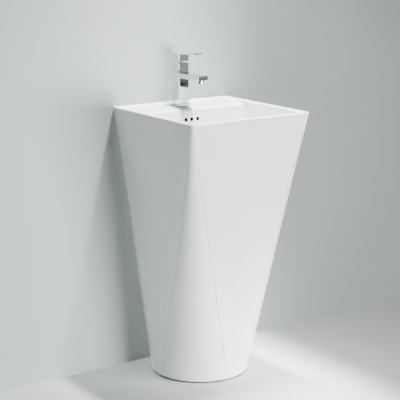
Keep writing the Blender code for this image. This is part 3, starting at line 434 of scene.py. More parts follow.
edge = half_top / mm
across = spaced(
    (-edge - 4, 0), (-edge + 26, 2.1), (-38, 4.5), (-29, 2.8),
    (29, 1.7), (38, 2.8), (edge - 26, 4.5), (edge + 4, 2.1),
)
along = spaced(
    (-edge - 4, 0), (-edge + 26, 2.1), (-88, 4.5), (-8, 3),
    (80, 4.5), (100, 2), (190, 3), (edge + 4, 2.1),
)
upward = spaced(
    (2, 0), (10, 1.6), (140, 9), (160, 5), (590, 9), (610, 5),
    (668, 9), (712, 3), (788, 7), (812, 1.7), (824, 3.2), (849, 1.8),
)
points, faces = surface_nets(china, across, along, upward)
points, normals = pulled(china, points)
points, faces = thinned(points, faces, MOST_TRIANGLES)
points, normals = pulled(china, points)
depth, _ = into_cone(points[:, 0], points[:, 1], points[:, 2])
outside = np.abs(hull(points[:, 0], points[:, 1], points[:, 2], 0)) < SKIN
nearest, furthest = depth[faces].min(1), depth[faces].max(1)
crossed = (nearest < STEP_WIDTH + BESIDE_STEP) & (furthest > -BESIDE_STEP) & outside[faces].all(1)
crossed &= points[faces][:, :, 2].max(1) < STEP_TOP
points, faces = finer(points, faces, crossed)
points, normals = pulled(china, points)
off = np.abs(china(points))
print("casting", len(points), "points", len(faces), "faces, off by at most", off.max() / mm, "mm")

# %% [markdown]
# ## Finishes
#
# Colours are written as sRGB hex, as a paint chart gives them, and one
# function turns them to the linear values that the shader wants. One small
# function adds a node, with its settings and its links.

# %% Node and colour helpers


def colour(code):
    parts = [int(code[i : i + 2], 16) / 255 for i in (0, 2, 4)]
    return (*[c / 12.92 if c <= 0.04045 else ((c + 0.055) / 1.055) ** 2.4 for c in parts], 1)


def add(tree, kind, inputs=None, **settings):
    made = tree.nodes.new(kind)
    for name, value in settings.items():
        setattr(made, name, value)
    for key, value in (inputs or {}).items():
        if isinstance(value, bpy.types.NodeSocket):
            tree.links.new(value, made.inputs[key])
        else:
            made.inputs[key].default_value = value
    return made


def grain(tree, size, detail=2, stretch=(1, 1, 1)):
    """Noise whose blotches are about size metres across, on Object coordinates."""
    place = add(tree, "ShaderNodeTexCoord").outputs["Object"]
    placed = add(tree, "ShaderNodeMapping", {"Vector": place, "Scale": stretch})
    noise = {"Vector": placed.outputs[0], "Scale": 1 / size, "Detail": detail}
    return add(tree, "ShaderNodeTexNoise", noise).outputs["Fac"]


def spread(tree, value, low, high):
    """value, which runs from about 0.35 to 0.65, spread from low to high."""
    ends = {"Value": value, 1: 0.35, 2: 0.65, 3: low, 4: high}
    return add(tree, "ShaderNodeMapRange", ends).outputs["Result"]


def mixed(tree, share, a, b):
    """Colour a where share is 0, colour b where it is 1."""
    return add(tree, "ShaderNodeMix", {0: share, 6: a, 7: b}, data_type="RGBA").outputs[2]


def blended(tree, value, code_a, code_b):
    return mixed(tree, spread(tree, value, 0, 1), colour(code_a), colour(code_b))


def bumped(tree, shader, height, distance):
    inputs = {"Height": height, "Strength": 1, "Distance": distance}
    if shader.inputs["Normal"].is_linked:
        inputs["Normal"] = shader.inputs["Normal"].links[0].from_socket
    tree.links.new(add(tree, "ShaderNodeBump", inputs).outputs[0], shader.inputs["Normal"])


def surface(name, code_a, code_b, patch, rough, metallic=0.0, **sockets):
    """A material whose colour drifts between two codes in blotches of patch metres.
    rough is its lowest and highest roughness."""
    made = bpy.data.materials.new(name)
    made.use_nodes = True
    tree = made.node_tree
    shader = tree.nodes["Principled BSDF"]
    drift = grain(tree, patch, 3)
    tree.links.new(blended(tree, drift, code_a, code_b), shader.inputs["Base Color"])
    tree.links.new(spread(tree, grain(tree, patch / 3), *rough), shader.inputs["Roughness"])
    shader.inputs["Metallic"].default_value = metallic
    for socket, value in sockets.items():
        shader.inputs[socket.replace("_", " ")].default_value = value
    return made, tree, shader


def grained(name, code_a, code_b, patch, rough, size, depth, detail=2, stretch=(1, 1, 1), metallic=0.0):
    """A material with one layer of bumps, size across and depth high."""
    made, tree, shader = surface(name, code_a, code_b, patch, rough, metallic)
    bumped(tree, shader, grain(tree, size, detail, stretch), depth)
    print("made", name)
    return made


# %% [markdown]
# ** Glazed vitreous china.** Clay fired until it is glassy, under a thin white
# tin or zircon glaze. The clay gives a soft white body, and the glaze is a
# clear hard coat with a nearly mirror-like surface. Molten glaze never settles
# quite flat, so long low waves bend the reflections a little. The inside of
# the pedestal gets no glaze: there the biscuit is dull and slightly warm. An
# attribute on the mesh says how bare each point is. A second one marks the
# overflow passage and its holes, which get painted shade: near black, standing
# for their unlit inside.

# %% Glazed vitreous china
china_white, tree, shader = surface(
    "glazed_vitreous_china", "F2F3F2", "EEF0EF", 90 * mm, (0.16, 0.2), IOR=1.52,
    Coat_Weight=1.0, Coat_Roughness=0.03, Coat_IOR=1.52,
)
bare = add(tree, "ShaderNodeAttribute", attribute_name="bare").outputs["Fac"]
glazed_colour = shader.inputs["Base Color"].links[0].from_socket
biscuit = blended(tree, grain(tree, 4 * mm, 4), "DAD6CC", "E4E0D6")
body_colour = mixed(tree, bare, glazed_colour, biscuit)
# painted shade: the overflow passage and its holes are mixed to near black, standing for their unlit inside
damp = add(tree, "ShaderNodeAttribute", attribute_name="damp").outputs["Fac"]
body_colour = mixed(tree, damp, body_colour, colour("161716"))
tree.links.new(body_colour, shader.inputs["Base Color"])
glazed_rough = shader.inputs["Roughness"].links[0].from_socket
body_rough = add(tree, "ShaderNodeMix", {0: bare, 2: glazed_rough, 3: 0.8}).outputs[0]
tree.links.new(body_rough, shader.inputs["Roughness"])
shine = add(tree, "ShaderNodeMath", {0: 1.0, 1: bare}, operation="SUBTRACT").outputs[0]
tree.links.new(shine, shader.inputs["Coat Weight"])
bumped(tree, shader, grain(tree, 55 * mm, 1), 0.25 * mm)
bumped(tree, shader, grain(tree, 2.5 * mm, 2), 0.006 * mm)
print("made", china_white.name)

# %% [markdown]
# **Chrome plate.** Brass is cast or pressed, polished, and plated with nickel
# and a very thin layer of chromium. It is close to a mirror with a faint blue
# cast. Polishing leaves low waves some 12 mm long, and dried water leaves
# slightly duller patches.

# %% Chrome plate
chrome = grained("polished_chrome_plate", "C3C7CA", "CCD0D2", 25 * mm, (0.035, 0.075),
                 12 * mm, 0.012 * mm, detail=1, metallic=1.0)

# %% [markdown]
# **Turned brass, drawn copper, zinc-plated and stainless steel.** Brass nuts
# come off a lathe with fine grooves, here drawn 0.8 mm apart so that they
# show. Copper tube is pulled through a die, which leaves lines along it, and
# it darkens where it is handled. Zinc plate shows small spangles, and
# stainless steel is dull from rolling.

# %% Other metals
brass, tree, shader = surface("turned_brass", "C79F58", "B98E48", 9 * mm, (0.22, 0.34), 1.0)
place = add(tree, "ShaderNodeTexCoord").outputs["Object"]
WAVE_PERIOD, GROOVE = 0.314, 0.8 * mm
waves = {"Vector": place, "Scale": WAVE_PERIOD / GROOVE}
grooves = add(tree, "ShaderNodeTexWave", waves, bands_direction="Z")
bumped(tree, shader, grooves.outputs["Fac"], 0.03 * mm)

copper = grained("drawn_copper", "C07A55", "8E5B42", 16 * mm, (0.2, 0.42),
                 1 * mm, 0.03 * mm, 3, (1, 1, 0.03), metallic=1.0)

zinc, tree, shader = surface("zinc_plated_steel", "B4B9BC", "A2A8AD", 5 * mm, (0.3, 0.46), 1.0)
place = add(tree, "ShaderNodeTexCoord").outputs["Object"]
spangle = add(tree, "ShaderNodeTexVoronoi", {"Vector": place, "Scale": 1 / (2.5 * mm)})
bumped(tree, shader, spangle.outputs["Distance"], 0.02 * mm)

stainless = grained("rolled_stainless_steel", "A5A7A8", "B0B2B3", 8 * mm, (0.24, 0.36),
                    0.9 * mm, 0.02 * mm, stretch=(1, 1, 0.1), metallic=1.0)

# %% [markdown]
# **Rubber, sealant, ceramic discs and plastics.** Moulded EPDM rubber is
# nearly black with a fine matt skin. The silicone bead is smoothed by a wet
# finger, so it shines a little in waves. The alumina discs are lapped so flat
# that they shine like stone. Nylon and the plastics have the even, faintly
# pitted skin of a steel mould.

# %% Rubber, ceramic and plastics
rubber = grained("moulded_epdm_rubber", "1B1C1D", "26282A", 6 * mm, (0.62, 0.8), 0.8 * mm, 0.05 * mm, 3)
sealant = grained("smoothed_silicone", "454644", "3A3B3A", 12 * mm, (0.4, 0.55), 7 * mm, 0.2 * mm)
alumina = grained("lapped_alumina", "EFEBE1", "E5E0D5", 3 * mm, (0.12, 0.2), 0.7 * mm, 0.01 * mm, 3)
nylon = grained("moulded_nylon", "E4E1D6", "DAD6C9", 6 * mm, (0.42, 0.52), 1.2 * mm, 0.03 * mm)
grey_plastic = grained("moulded_grey_plastic", "75797B", "6C7072", 7 * mm, (0.38, 0.5), 0.9 * mm, 0.03 * mm)
white_plastic = grained("moulded_white_plastic", "ECEDEB", "E3E5E3", 7 * mm, (0.3, 0.42),
                        0.9 * mm, 0.025 * mm)

FINISHES = {
    "vitreous_china": china_white, "sealant": sealant, "zinc_plated_steel": zinc,
    "stainless_steel": stainless, "nylon": nylon, "chrome": chrome, "brass": brass, "copper": copper,
    "epdm_rubber": rubber, "alumina": alumina, "grey_plastic": grey_plastic,
    "white_plastic": white_plastic,
}
slot_of = {part: obj.material_slots[0].material.name for part, obj in nodes.items()}
for part, obj in nodes.items():
    for held in obj.material_slots:
        held.material = FINISHES[slot_of[part]]
print("finishes", len(FINISHES), "on", len(nodes), "parts")

# %% [markdown]
# ## Pieces that stand for parts
#
# A finished piece is a plain mesh at the origin, with its place in its points.
# It moves with the body of the part that it stands for, and takes that part's
# material.

# %% Finished piece


def body_of(part):
    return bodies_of(nodes[part])[0]


def piece(name, points, faces, normals, part):
    """A smooth mesh that stands for the part, on its body and with its finish."""
    mesh = bpy.data.meshes.new(name)
    mesh.from_pydata([tuple(p) for p in points], [], [tuple(int(i) for i in f) for f in faces])
    mesh.validate()
    mesh.shade_smooth()
    mesh.normals_split_custom_set_from_vertices([tuple(n) for n in normals])
    mesh.materials.append(FINISHES[slot_of[part]])
    made = bpy.data.objects.new(name, mesh)
    bpy.context.scene.collection.objects.link(made)
    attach(made, body_of(part))
    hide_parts(part)
    return made


def lines_for(part, step, pad=1.5):
    """Even grid lines for x, y and z that pass pad steps beyond the part."""
    low, high, _ = span(part)
    counts = [round((b - a) / step + 2 * pad) + 1 for a, b in zip(low, high)]
    return [np.linspace(a - pad * step, b + pad * step, n) for a, b, n in zip(low, high, counts)]


def net_piece(name, distance, lines, part):
    """A piece from a distance function, on grid lines for x, y and z."""
    points, faces = surface_nets(distance, *lines)
    points, normals = pulled(distance, points)
    print(name, len(faces), "faces")
    piece(name, points, faces, normals, part)


# %% Casting piece
x, y, z = np.abs(points[:, 0]), points[:, 1], points[:, 2]
bare_points = np.clip(1.5 - np.abs(cavity(x, y, z)) / (2 * mm), 0, 1)
PASSAGE_BACK = 126 * mm
# points of the overflow passage and its holes, which get painted shade
passage_shade_points = (x < 35 * mm) & (y > BOWL_BACK + 3 * mm) & (y < PASSAGE_BACK) & (z < overflow_z + 8 * mm)
for middle in OVERFLOW_HOLES:
    in_hole = np.hypot(x - middle, z - overflow_z) < OVERFLOW_RADIUS + GAP
    passage_shade_points |= in_hole & (y > 80 * mm) & (y < PASSAGE_BACK)
casting = piece("china_casting", points, faces, normals, "basin_pedestal")
for name, values in (("bare", bare_points), ("damp", passage_shade_points)):
    attribute = casting.data.attributes.new(name, "FLOAT", "POINT")
    attribute.data.foreach_set("value", values.astype(np.float32))
    print(name, "points", int((values > 0).sum()))

# %% [markdown]
# ## The tap
#
# The tap's body is cast brass: a square column with a flat spout, bored from
# above for the cartridge. Its edges are ground to about 1 mm before plating,
# and they catch a thin bright line. It is made like the casting, from
# distances, so the joint of column and spout, the bore and the aerator's
# socket are all one surface.

# %% Tap body


def bar(p, low, high, radius):
    """A box with rounded edges, anywhere."""
    middle, half = (np.array(low) + high) / 2, (np.array(high) - low) / 2
    q = np.abs(p - middle) - half + radius
    return np.linalg.norm(np.maximum(q, 0), axis=1) + np.minimum(q.max(axis=1), 0) - radius


def bored(p, solid, centre, axis, radius, low, high, edge=0.4 * mm):
    """solid less a round hole along axis (0, 1 or 2), from low to high on it."""
    u, v = [n for n in range(3) if n != axis]
    return less(solid, hole(p[:, u] - centre[u], p[:, v] - centre[v], p[:, axis], radius, low, high), edge)


body_low, body_high, _ = span("mixer_body")
COLUMN = body_high.x
column_front = tap.y - COLUMN
spout_top = tap.z + 105.5 * mm
spout_under = spout_top - 15 * mm
aerator = span("aerator_housing")[2]
EASED = 1.0 * mm
PAST = 5 * mm


def tap_body(p):
    """Each bore holds a part, stops GAP beyond it and runs out PAST the face it starts at."""
    column = bar(p, (-COLUMN, column_front, body_low.z), (COLUMN, body_high.y, body_high.z), EASED)
    spout = bar(p, (-COLUMN, body_low.y, spout_under), (COLUMN, tap.y, spout_top), EASED)
    solid = plus(column, spout, 0.8 * mm)
    solid = bored(p, solid, tap, 2, 13 * mm, span("cartridge_housing")[0].z - GAP, body_high.z + PAST)
    seal_top, tail_top = span("aerator_seal")[1].z, span("hot_supply_tail")[1].z
    solid = bored(p, solid, aerator, 2, 10.25 * mm, spout_under - PAST, seal_top + GAP)
    for side in (-1, 1):
        inlet = Vector((side * 8.5 * mm, tap.y + 4 * mm, 0))
        solid = bored(p, solid, inlet, 2, 5.3 * mm, body_low.z - PAST, tail_top + GAP)
    _, stud_top, stud = span("tap_stud")
    return bored(p, solid, stud, 2, 4.3 * mm, body_low.z - PAST, stud_top.z + GAP)


net_piece("tap_column_and_spout", tap_body, lines_for("mixer_body", 1.05 * mm), "mixer_body")

# %% [markdown]
# The lever is one casting too: a block the size of the column, relieved below
# at the back so that it can tilt, and a blade 4 mm thick that rises a little
# towards its tip. A square socket takes the stem, and a grub screw goes in
# from behind under a small cap.

# %% Lever and base plate
lever_low, lever_high, _ = span("lever_handle")
lever_middle, lever_half = (lever_low.y + lever_high.y) / 2, (lever_high.y - lever_low.y) / 2
BLADE_THICKNESS = 4 * mm
BLADE_RISE, BLADE_REACH = 4.5, 92
SOCKET_HALF = 2.8 * mm
_, stem_high, _ = span("lever_stem")
_, cap_high, cap_middle = span("index_cap")


def lever(p):
    top = lever_high.z - BLADE_RISE * mm + (tap.y - p[:, 1]) * BLADE_RISE / BLADE_REACH
    flat = rounded_rectangle(p[:, 0], p[:, 1] - lever_middle, COLUMN, lever_half, 1.2 * mm)
    blade = round_max(flat, np.abs(p[:, 2] - top + BLADE_THICKNESS / 2) - BLADE_THICKNESS / 2, 0.7 * mm)
    under = lever_low.z + 4 * mm * np.clip((p[:, 1] - tap.y) / COLUMN, 0, 1)
    block_flat = rounded_rectangle(p[:, 0], p[:, 1] - tap.y, COLUMN, COLUMN, 1.2 * mm)
    head = round_max(round_max(block_flat, under - p[:, 2], EASED), p[:, 2] - top, 0.7 * mm)
    solid = plus(blade, head, 1.5 * mm)
    socket_low = (-SOCKET_HALF, tap.y - SOCKET_HALF, lever_low.z - PAST)
    socket_high = (SOCKET_HALF, tap.y + SOCKET_HALF, stem_high.z + GAP)
    solid = less(solid, bar(p, socket_low, socket_high, 0.1 * mm), 0.3 * mm)
    solid = bored(p, solid, cap_middle, 1, 2.7 * mm, tap.y, cap_high.y + PAST)
    return bored(p, solid, cap_middle, 1, 3.9 * mm, cap_high.y - 2 * mm, cap_high.y + PAST)


net_piece("tap_lever", lever, lines_for("lever_handle", 0.85 * mm), "lever_handle")

plate_low, plate_high, _ = span("tap_base_plate")


def base_plate(p):
    solid = bar(p, plate_low, plate_high, EASED)
    opening_low, opening_high = (-COLUMN - GAP, column_front - GAP, 0), (COLUMN + GAP, body_high.y + GAP, 1)
    return less(solid, bar(p, opening_low, opening_high, EASED), 0.3 * mm)


net_piece("tap_foot_plate", base_plate, lines_for("tap_base_plate", 0.8 * mm), "tap_base_plate")

# %% [markdown]
# ## Turned pieces
#
# Most of the waste and trap is turned or spun: a profile swept round an axis.
# The parts already hold every profile, but with few sides and hard corners. So
# each part is sliced through its axis, at an odd angle so that the slice runs
# along no edge. The profile's corners get a small radius, and it is swept
# again, mostly with 72 sides. The profile also gives exact normals, so flats
# stay flat in the reflections.

# %% Turned copy of a part
SLICE_ANGLE = math.radians(7.31)
AXES = {"Z": np.eye(3), "Y": np.array([[0, 0, 1], [1, 0, 0], [0, 1, 0]], float)}


def half_section(part, centre, axes):
    """Segments ((radius, height), (radius, height)) where a half plane cuts the part."""
    bm = bmesh.new()
    bm.from_mesh(nodes[part].data)
    bmesh.ops.remove_doubles(bm, verts=bm.verts, dist=0.002 * mm)
    turn = Matrix(axes.tolist())
    for vert in bm.verts:
        vert.co = turn @ (vert.co - centre)
    true_radius = max(math.hypot(v.co.x, v.co.y) for v in bm.verts)
    normal = Vector((-math.sin(SLICE_ANGLE), math.cos(SLICE_ANGLE), 0))
    out = Vector((math.cos(SLICE_ANGLE), math.sin(SLICE_ANGLE), 0))
    everything = [*bm.verts, *bm.edges, *bm.faces]
    cut = bmesh.ops.bisect_plane(bm, geom=everything, plane_co=(0, 0, 0), plane_no=normal)
    segments = []
    for edge in [e for e in cut["geom_cut"] if isinstance(e, bmesh.types.BMEdge)]:
        (ra, ha), (rb, hb) = [(v.co.dot(out), v.co.z) for v in edge.verts]
        if max(ra, rb) < 0.01 * mm:
            continue
        if min(ra, rb) < 0:
            level = ha + (hb - ha) * ra / (ra - rb)
            ra, ha, rb, hb = (ra, ha, 0, level) if ra > 0 else (0, level, rb, hb)
        segments.append(((ra, ha), (rb, hb)))
    bm.free()
    widest = max(max(a[0], b[0]) for a, b in segments)
    return [((a[0] * true_radius / widest, a[1]), (b[0] * true_radius / widest, b[1])) for a, b in segments]


def chained(segments):
    """(points in order, whether they close)"""
    near, place = {}, {}
    for a, b in segments:
        ka, kb = [tuple(round(c / (0.01 * mm)) for c in end) for end in (a, b)]
        if ka == kb:
            continue
        place[ka], place[kb] = a, b
        near.setdefault(ka, []).append(kb)
        near.setdefault(kb, []).append(ka)
    ends = [k for k, found in near.items() if len(found) == 1]
    start = min(ends, key=lambda k: k[1]) if ends else next(iter(near))
    order, previous = [start], None
    while True:
        ahead = [k for k in near[order[-1]] if k != previous]
        if not ahead or ahead[0] == start:
            break
        previous = order[-1]
        order.append(ahead[0])
    return [Vector(place[k]) for k in order], not ends


def rounded_profile(points, closed, radius, steps=4):
    """(point, normal) pairs, with each corner made an arc."""
    count = len(points)
    straight = []
    for i, point in enumerate(points):
        if not closed and i in (0, count - 1):
            straight.append(point)
            continue
        a, b = (point - points[i - 1]).normalized(), (points[(i + 1) % count] - point).normalized()
        if a.dot(b) < 0.9999:
            straight.append(point)
    points, count = straight, len(straight)
    area = sum(a.x * b.y - b.x * a.y for a, b in zip(points, points[1:] + points[:1]))
    side = 1 if area > 0 else -1
    made = []
    for i, point in enumerate(points):
        if not closed and i in (0, count - 1):
            near = points[1] - point if i == 0 else point - points[-2]
            way = near.normalized()
            made.append((point, Vector((side * way.y, -side * way.x))))
            continue
        a, b = point - points[i - 1], points[(i + 1) % count] - point
        turn = a.angle(b)
        reach = min(radius * math.tan(turn / 2), 0.42 * a.length, 0.42 * b.length)
        na, nb = [Vector((side * w.y, -side * w.x)).normalized() for w in (a, b)]
        start, end = point - a.normalized() * reach, point + b.normalized() * reach
        for step in range(steps + 1):
            t = step / steps
            place = start * (1 - t) ** 2 + point * 2 * t * (1 - t) + end * t**2
            made.append((place, (na * (1 - t) + nb * t).normalized()))
    return made


def turned(part, centre, axis="Z", radius=0.5 * mm, sides=72):
    """Sweeps the part's own profile, its corners rounded to radius, about its axis."""
    axes = AXES[axis]
    profile = rounded_profile(*chained(half_section(part, centre, axes))[:2], radius)
    closed = min(p.x for p, _ in profile) > 0.05 * mm
    points, normals, rings = [], [], []
    for place, normal in profile:
        count = 1 if place.x < 0.01 * mm else sides
        rings.append(list(range(len(points), len(points) + count)))
        for i in range(count):
            angle = 2 * math.pi * i / sides
            c, s = math.cos(angle), math.sin(angle)
            points.append(np.array([place.x * c, place.x * s, place.y]) @ axes + centre)
            normals.append(np.array([normal.x * c, normal.x * s, normal.y]) @ axes)
    faces = []
    pairs = list(zip(rings, rings[1:])) + ([(rings[-1], rings[0])] if closed else [])
    for low, high in pairs:
        for i in range(sides):
            n = i + 1
            corners = [low[i % len(low)], low[n % len(low)], high[n % len(high)], high[i % len(high)]]
            faces.append(list(dict.fromkeys(corners)))
    points, normals = np.array(points), np.array(normals)
    a, b, c = [points[[f[n] for f in faces]] for n in range(3)]
    facing = (np.cross(b - a, c - a) * normals[[f[0] for f in faces]]).sum()
    if facing < 0:
        faces = [f[::-1] for f in faces]
    piece(f"{part}_turned", points, faces, normals, part)


outlet = Vector((0, 0, outlet_z))
drain_parts = (
    "waste_plug", "plug_seal", "plug_stem", "flange_seal", "backnut_seal", "click_sleeve", "dip_tube",
    "trap_inlet_nut", "inlet_washer", "neck_nut", "neck_washer", "trap_cup", "cup_seal",
)
for part in drain_parts:
    turned(part, drain, radius=0.8 * mm if part == "trap_cup" else 0.5 * mm)
for part in ("outlet_pipe", "outlet_nut", "outlet_washer", "wall_flange"):
    turned(part, outlet, "Y")
turned("aerator_housing", Vector((aerator.x, aerator.y, 0)), radius=0.4 * mm)
for part in ("cartridge_nut", "cartridge_cover"):
    turned(part, tap, radius=0.3 * mm)
turned("tap_stud", span("tap_stud")[2], radius=0.5 * mm, sides=32)
turned("floor_seal", Vector((0, foot_y, 0)), radius=1.5 * mm, sides=160)
for side in ("left", "right"):
    for kind in ("wall_stud", "stud_sleeve", "stud_washer"):
        turned(f"{kind}_{side}", span(f"wall_stud_{side}")[2], "Y", 0.4 * mm, 40)
turned("index_cap", cap_middle, "Y", 0.4 * mm, 32)
print("turned pieces done")

# %% [markdown]
# ## Cast and hexagonal pieces of the waste
#
# The head of the trap, the waste body with its overflow windows, and the nuts
# aren't purely turned, so they come from distances again. A real nut is a
# hexagon with its corners cut back by a cone on both faces, and so it is here.

# %% Trap head and waste body
head_low, head_high, _ = span("trap_body")
tube_low, flange_high, _ = span("waste_body")
WINDOW_HALF, BRIDGE_HALF_X, BRIDGE_HALF_Y = 9 * mm, 18.6 * mm, 8.8 * mm


def round_bar(around, z, radius, low, high, edge):
    """A round bar from low to high on its axis, around being the distance to the axis."""
    return round_max(around - radius, np.abs(z - (low + high) / 2) - (high - low) / 2, edge)


def trap_head(p):
    x, y, z = p[:, 0], p[:, 1] - drain.y, p[:, 2]
    around = np.hypot(x, y)
    shoulder = head_high.z - 18 * mm
    head = round_bar(around, z, 31 * mm, head_low.z, shoulder, 1.5 * mm)
    neck = round_max(around - 24 * mm, np.abs(z - shoulder) - 18 * mm, 0.6 * mm)
    boss = round_max(np.hypot(x, z - outlet_z) - 22 * mm, np.abs(y - 27.5 * mm) - 27.5 * mm, 0.6 * mm)
    solid = plus(plus(head, neck, 1 * mm), boss, 2.5 * mm)
    inside = round_max(around - 28 * mm, z - shoulder + 3 * mm, 2 * mm)
    solid = less(solid, inside, 0.5 * mm)
    solid = bored(p, solid, drain, 2, 16.6 * mm, shoulder - 10 * mm, head_high.z + PAST)
    return bored(p, solid, outlet, 1, 16.6 * mm, drain.y + 20 * mm, drain.y + 60 * mm)


net_piece("trap_head", trap_head, lines_for("trap_body", 1.3 * mm), "trap_body")


def waste_fitting(p):
    x, y, z = p[:, 0], p[:, 1] - drain.y, p[:, 2]
    around = np.hypot(x, y)
    under = drain.z + 2.1 * mm
    flange = round_max(around - 31.5 * mm, np.abs(z - (under + flange_high.z) / 2) - 1.25 * mm, 0.8 * mm)
    tube = round_bar(around, z, 20.75 * mm, tube_low.z, under, 0.4 * mm)
    bore = 18.25 * mm + 4 * mm * np.clip((z - under + 3 * mm) / (5.5 * mm), 0, 1)
    solid = less(plus(flange, tube, 0.3 * mm), around - bore, 0.5 * mm)
    bridge_low = (-BRIDGE_HALF_X, drain.y - BRIDGE_HALF_Y, drain.z - 40 * mm)
    bridge_high = (BRIDGE_HALF_X, drain.y + BRIDGE_HALF_Y, drain.z - 34 * mm)
    bridge = bar(p, bridge_low, bridge_high, 1 * mm)
    solid = plus(solid, np.maximum(bridge, around - 20 * mm), 1 * mm)
    solid = bored(p, solid, drain, 2, 7.3 * mm, drain.z - 50 * mm, drain.z - 30 * mm)
    window_low = (-WINDOW_HALF, drain.y - 40 * mm, PASSAGE_LOW)
    window_high = (WINDOW_HALF, drain.y + 40 * mm, PASSAGE_TOP)
    return less(solid, bar(p, window_low, window_high, 2 * mm), 0.4 * mm)


waste_lines = lines_for("waste_body", 1.1 * mm)
waste_lines[2] = spaced((tube_low.z / mm - 2, 0), (700, 1.4), (707, 0.5))
net_piece("waste_fitting", waste_fitting, waste_lines, "waste_body")

# %% Nuts
NUTS = {
    "waste_backnut": (2, 21.05), "click_nut": (2, 7.3), "clamp_nut": (2, 4.3), "hot_tail_nut": (2, 5.3),
    "cold_tail_nut": (2, 5.3), "stud_nut_left": (1, 5.3), "stud_nut_right": (1, 5.3),
}


def nut(part, axis, bore):
    low, high, middle = span(part)
    u, v = [n for n in range(3) if n != axis]
    corner = max(high[u] - low[u], high[v] - low[v]) / 2
    long_axis = u if high[u] - low[u] > high[v] - low[v] else v
    apothem = corner * math.cos(math.pi / 6)
    half = (high[axis] - low[axis]) / 2

    def distance(p):
        a, b = p[:, long_axis] - middle[long_axis], p[:, u + v - long_axis] - middle[u + v - long_axis]
        c = np.abs(p[:, axis] - middle[axis])
        sides = (0, math.pi / 3, -math.pi / 3)
        flats = np.max([np.abs(a * math.sin(t) + b * math.cos(t)) for t in sides], axis=0)
        cone = (np.hypot(a, b) + 1.8 * c - apothem - 1.8 * half - 0.35 * mm) / 2.06
        solid = round_max(np.maximum(flats - apothem, cone), c - half, 0.2 * mm)
        return less(solid, np.hypot(a, b) - bore * mm, 0.35 * mm)

    step = max(0.45 * mm, corner / 34)
    net_piece(f"{part}_hex", distance, lines_for(part, step), part)


for part, (axis, bore) in NUTS.items():
    nut(part, axis, bore)

# %% [markdown]
# ## Supply tails
#
# Two rigid copper tubes screw into the foot of the tap. Below the deck each
# makes an easy S-bend outwards, to clear the waste pipe, and ends in its nut.
# A tube is a curve with a round bevel, made a mesh when it is done.

# %% Copper tails


def plain_mesh(source):
    """The evaluated object as a plain mesh object of the same name."""
    scene = bpy.context.scene.collection.objects
    scene.link(source)
    graph = bpy.context.evaluated_depsgraph_get()
    done = source.evaluated_get(graph)
    mesh = bpy.data.meshes.new_from_object(done, preserve_all_data_layers=True, depsgraph=graph)
    name = source.name
    bpy.data.objects.remove(source)
    for attribute in [a.name for a in mesh.attributes if a.name == "rest_position"]:
        mesh.attributes.remove(mesh.attributes[attribute])
    bm = bmesh.new()
    bm.from_mesh(mesh)
    bmesh.ops.remove_doubles(bm, verts=bm.verts, dist=0.001 * mm)
    bmesh.ops.recalc_face_normals(bm, faces=bm.faces)
    bm.to_mesh(mesh)
    bm.free()
    mesh.name = name
    mesh.shade_smooth()
    made = bpy.data.objects.new(name, mesh)
    scene.link(made)
    return made


def tail(part, side):
    low, high, _ = span(part)
    start_x, end_x = side * 8.5 * mm, side * (max(abs(low.x), abs(high.x)) - 5 * mm)
    y = tap.y + 4 * mm
    bend_top, bend = tap.z - 63.5 * mm, 60 * mm
    route = [(start_x, y, high.z)]
    for step in range(25):
        share = step / 24
        x = start_x + (end_x - start_x) * (1 - math.cos(math.pi * share)) / 2
        route.append((x, y, bend_top - bend * share))
    route.append((end_x, y, low.z))
    curve = bpy.data.curves.new(part, "CURVE")
    curve.dimensions, curve.bevel_depth, curve.bevel_resolution, curve.use_fill_caps = "3D", 5 * mm, 6, True
    spline = curve.splines.new("POLY")
    spline.points.add(len(route) - 1)
    for point, place in zip(spline.points, route):
        point.co = (*place, 1)
    made = plain_mesh(bpy.data.objects.new(f"{part}_drawn", curve))
    made.data.materials.clear()
    made.data.materials.append(copper)
    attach(made, body_of(part))
    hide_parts(part)


tail("hot_supply_tail", -1)
tail("cold_supply_tail", 1)

# %% [markdown]
# ## What repeats: ribs, threads and the aerator's screen
#
# Ribs let a hand turn the trap's nuts, a thread runs round each stud, and a
# fine grid breaks the water into a soft jet. All three follow a rule, so
# Geometry Nodes make them. Each tree has named inputs for its sizes and ends by
# realizing its instances and setting the material.

# %% Geometry Nodes helpers


def new_tree(name, *sizes):
    tree = bpy.data.node_groups.new(name, "GeometryNodeTree")
    for size in sizes:
        tree.interface.new_socket(size, in_out="INPUT", socket_type="NodeSocketFloat")
    tree.interface.new_socket("Finish", in_out="INPUT", socket_type="NodeSocketMaterial")
    tree.interface.new_socket("Geometry", in_out="OUTPUT", socket_type="NodeSocketGeometry")
    return tree, add(tree, "NodeGroupInput").outputs


def put(tree, kind, inputs=None, **settings):
    """Adds a node and gives its first output."""
    return add(tree, kind, inputs, **settings).outputs[0]


def maths(tree, operation, *values):
    return put(tree, "ShaderNodeMath", dict(enumerate(values)), operation=operation)


def end_tree(tree, geometry, finish):
    real = put(tree, "GeometryNodeRealizeInstances", {"Geometry": geometry})
    done = put(tree, "GeometryNodeSetMaterial", {"Geometry": real, "Material": finish})
    add(tree, "NodeGroupOutput", {"Geometry": done})


def grown(name, tree, part, place, turn=None, **values):
    """Runs a tree on an empty mesh, moves the result into place, and rides it on the part's body."""
    source = bpy.data.objects.new(name, bpy.data.meshes.new(name))
    modifier = source.modifiers.new("grow", "NODES")
    modifier.node_group = tree
    values = {**values, "Finish": FINISHES[slot_of[part]]}
    for socket in tree.interface.items_tree:
        if socket.in_out == "INPUT":
            modifier[socket.identifier] = values[socket.name.replace(" ", "_")]
    made = plain_mesh(source)
    made.data.transform(Matrix.Translation(place) @ (turn or Matrix()))
    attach(made, body_of(part))
    print(name, len(made.data.polygons), "faces")
    return made


TURN_TO_Y = Matrix.Rotation(-math.pi / 2, 4, "X")

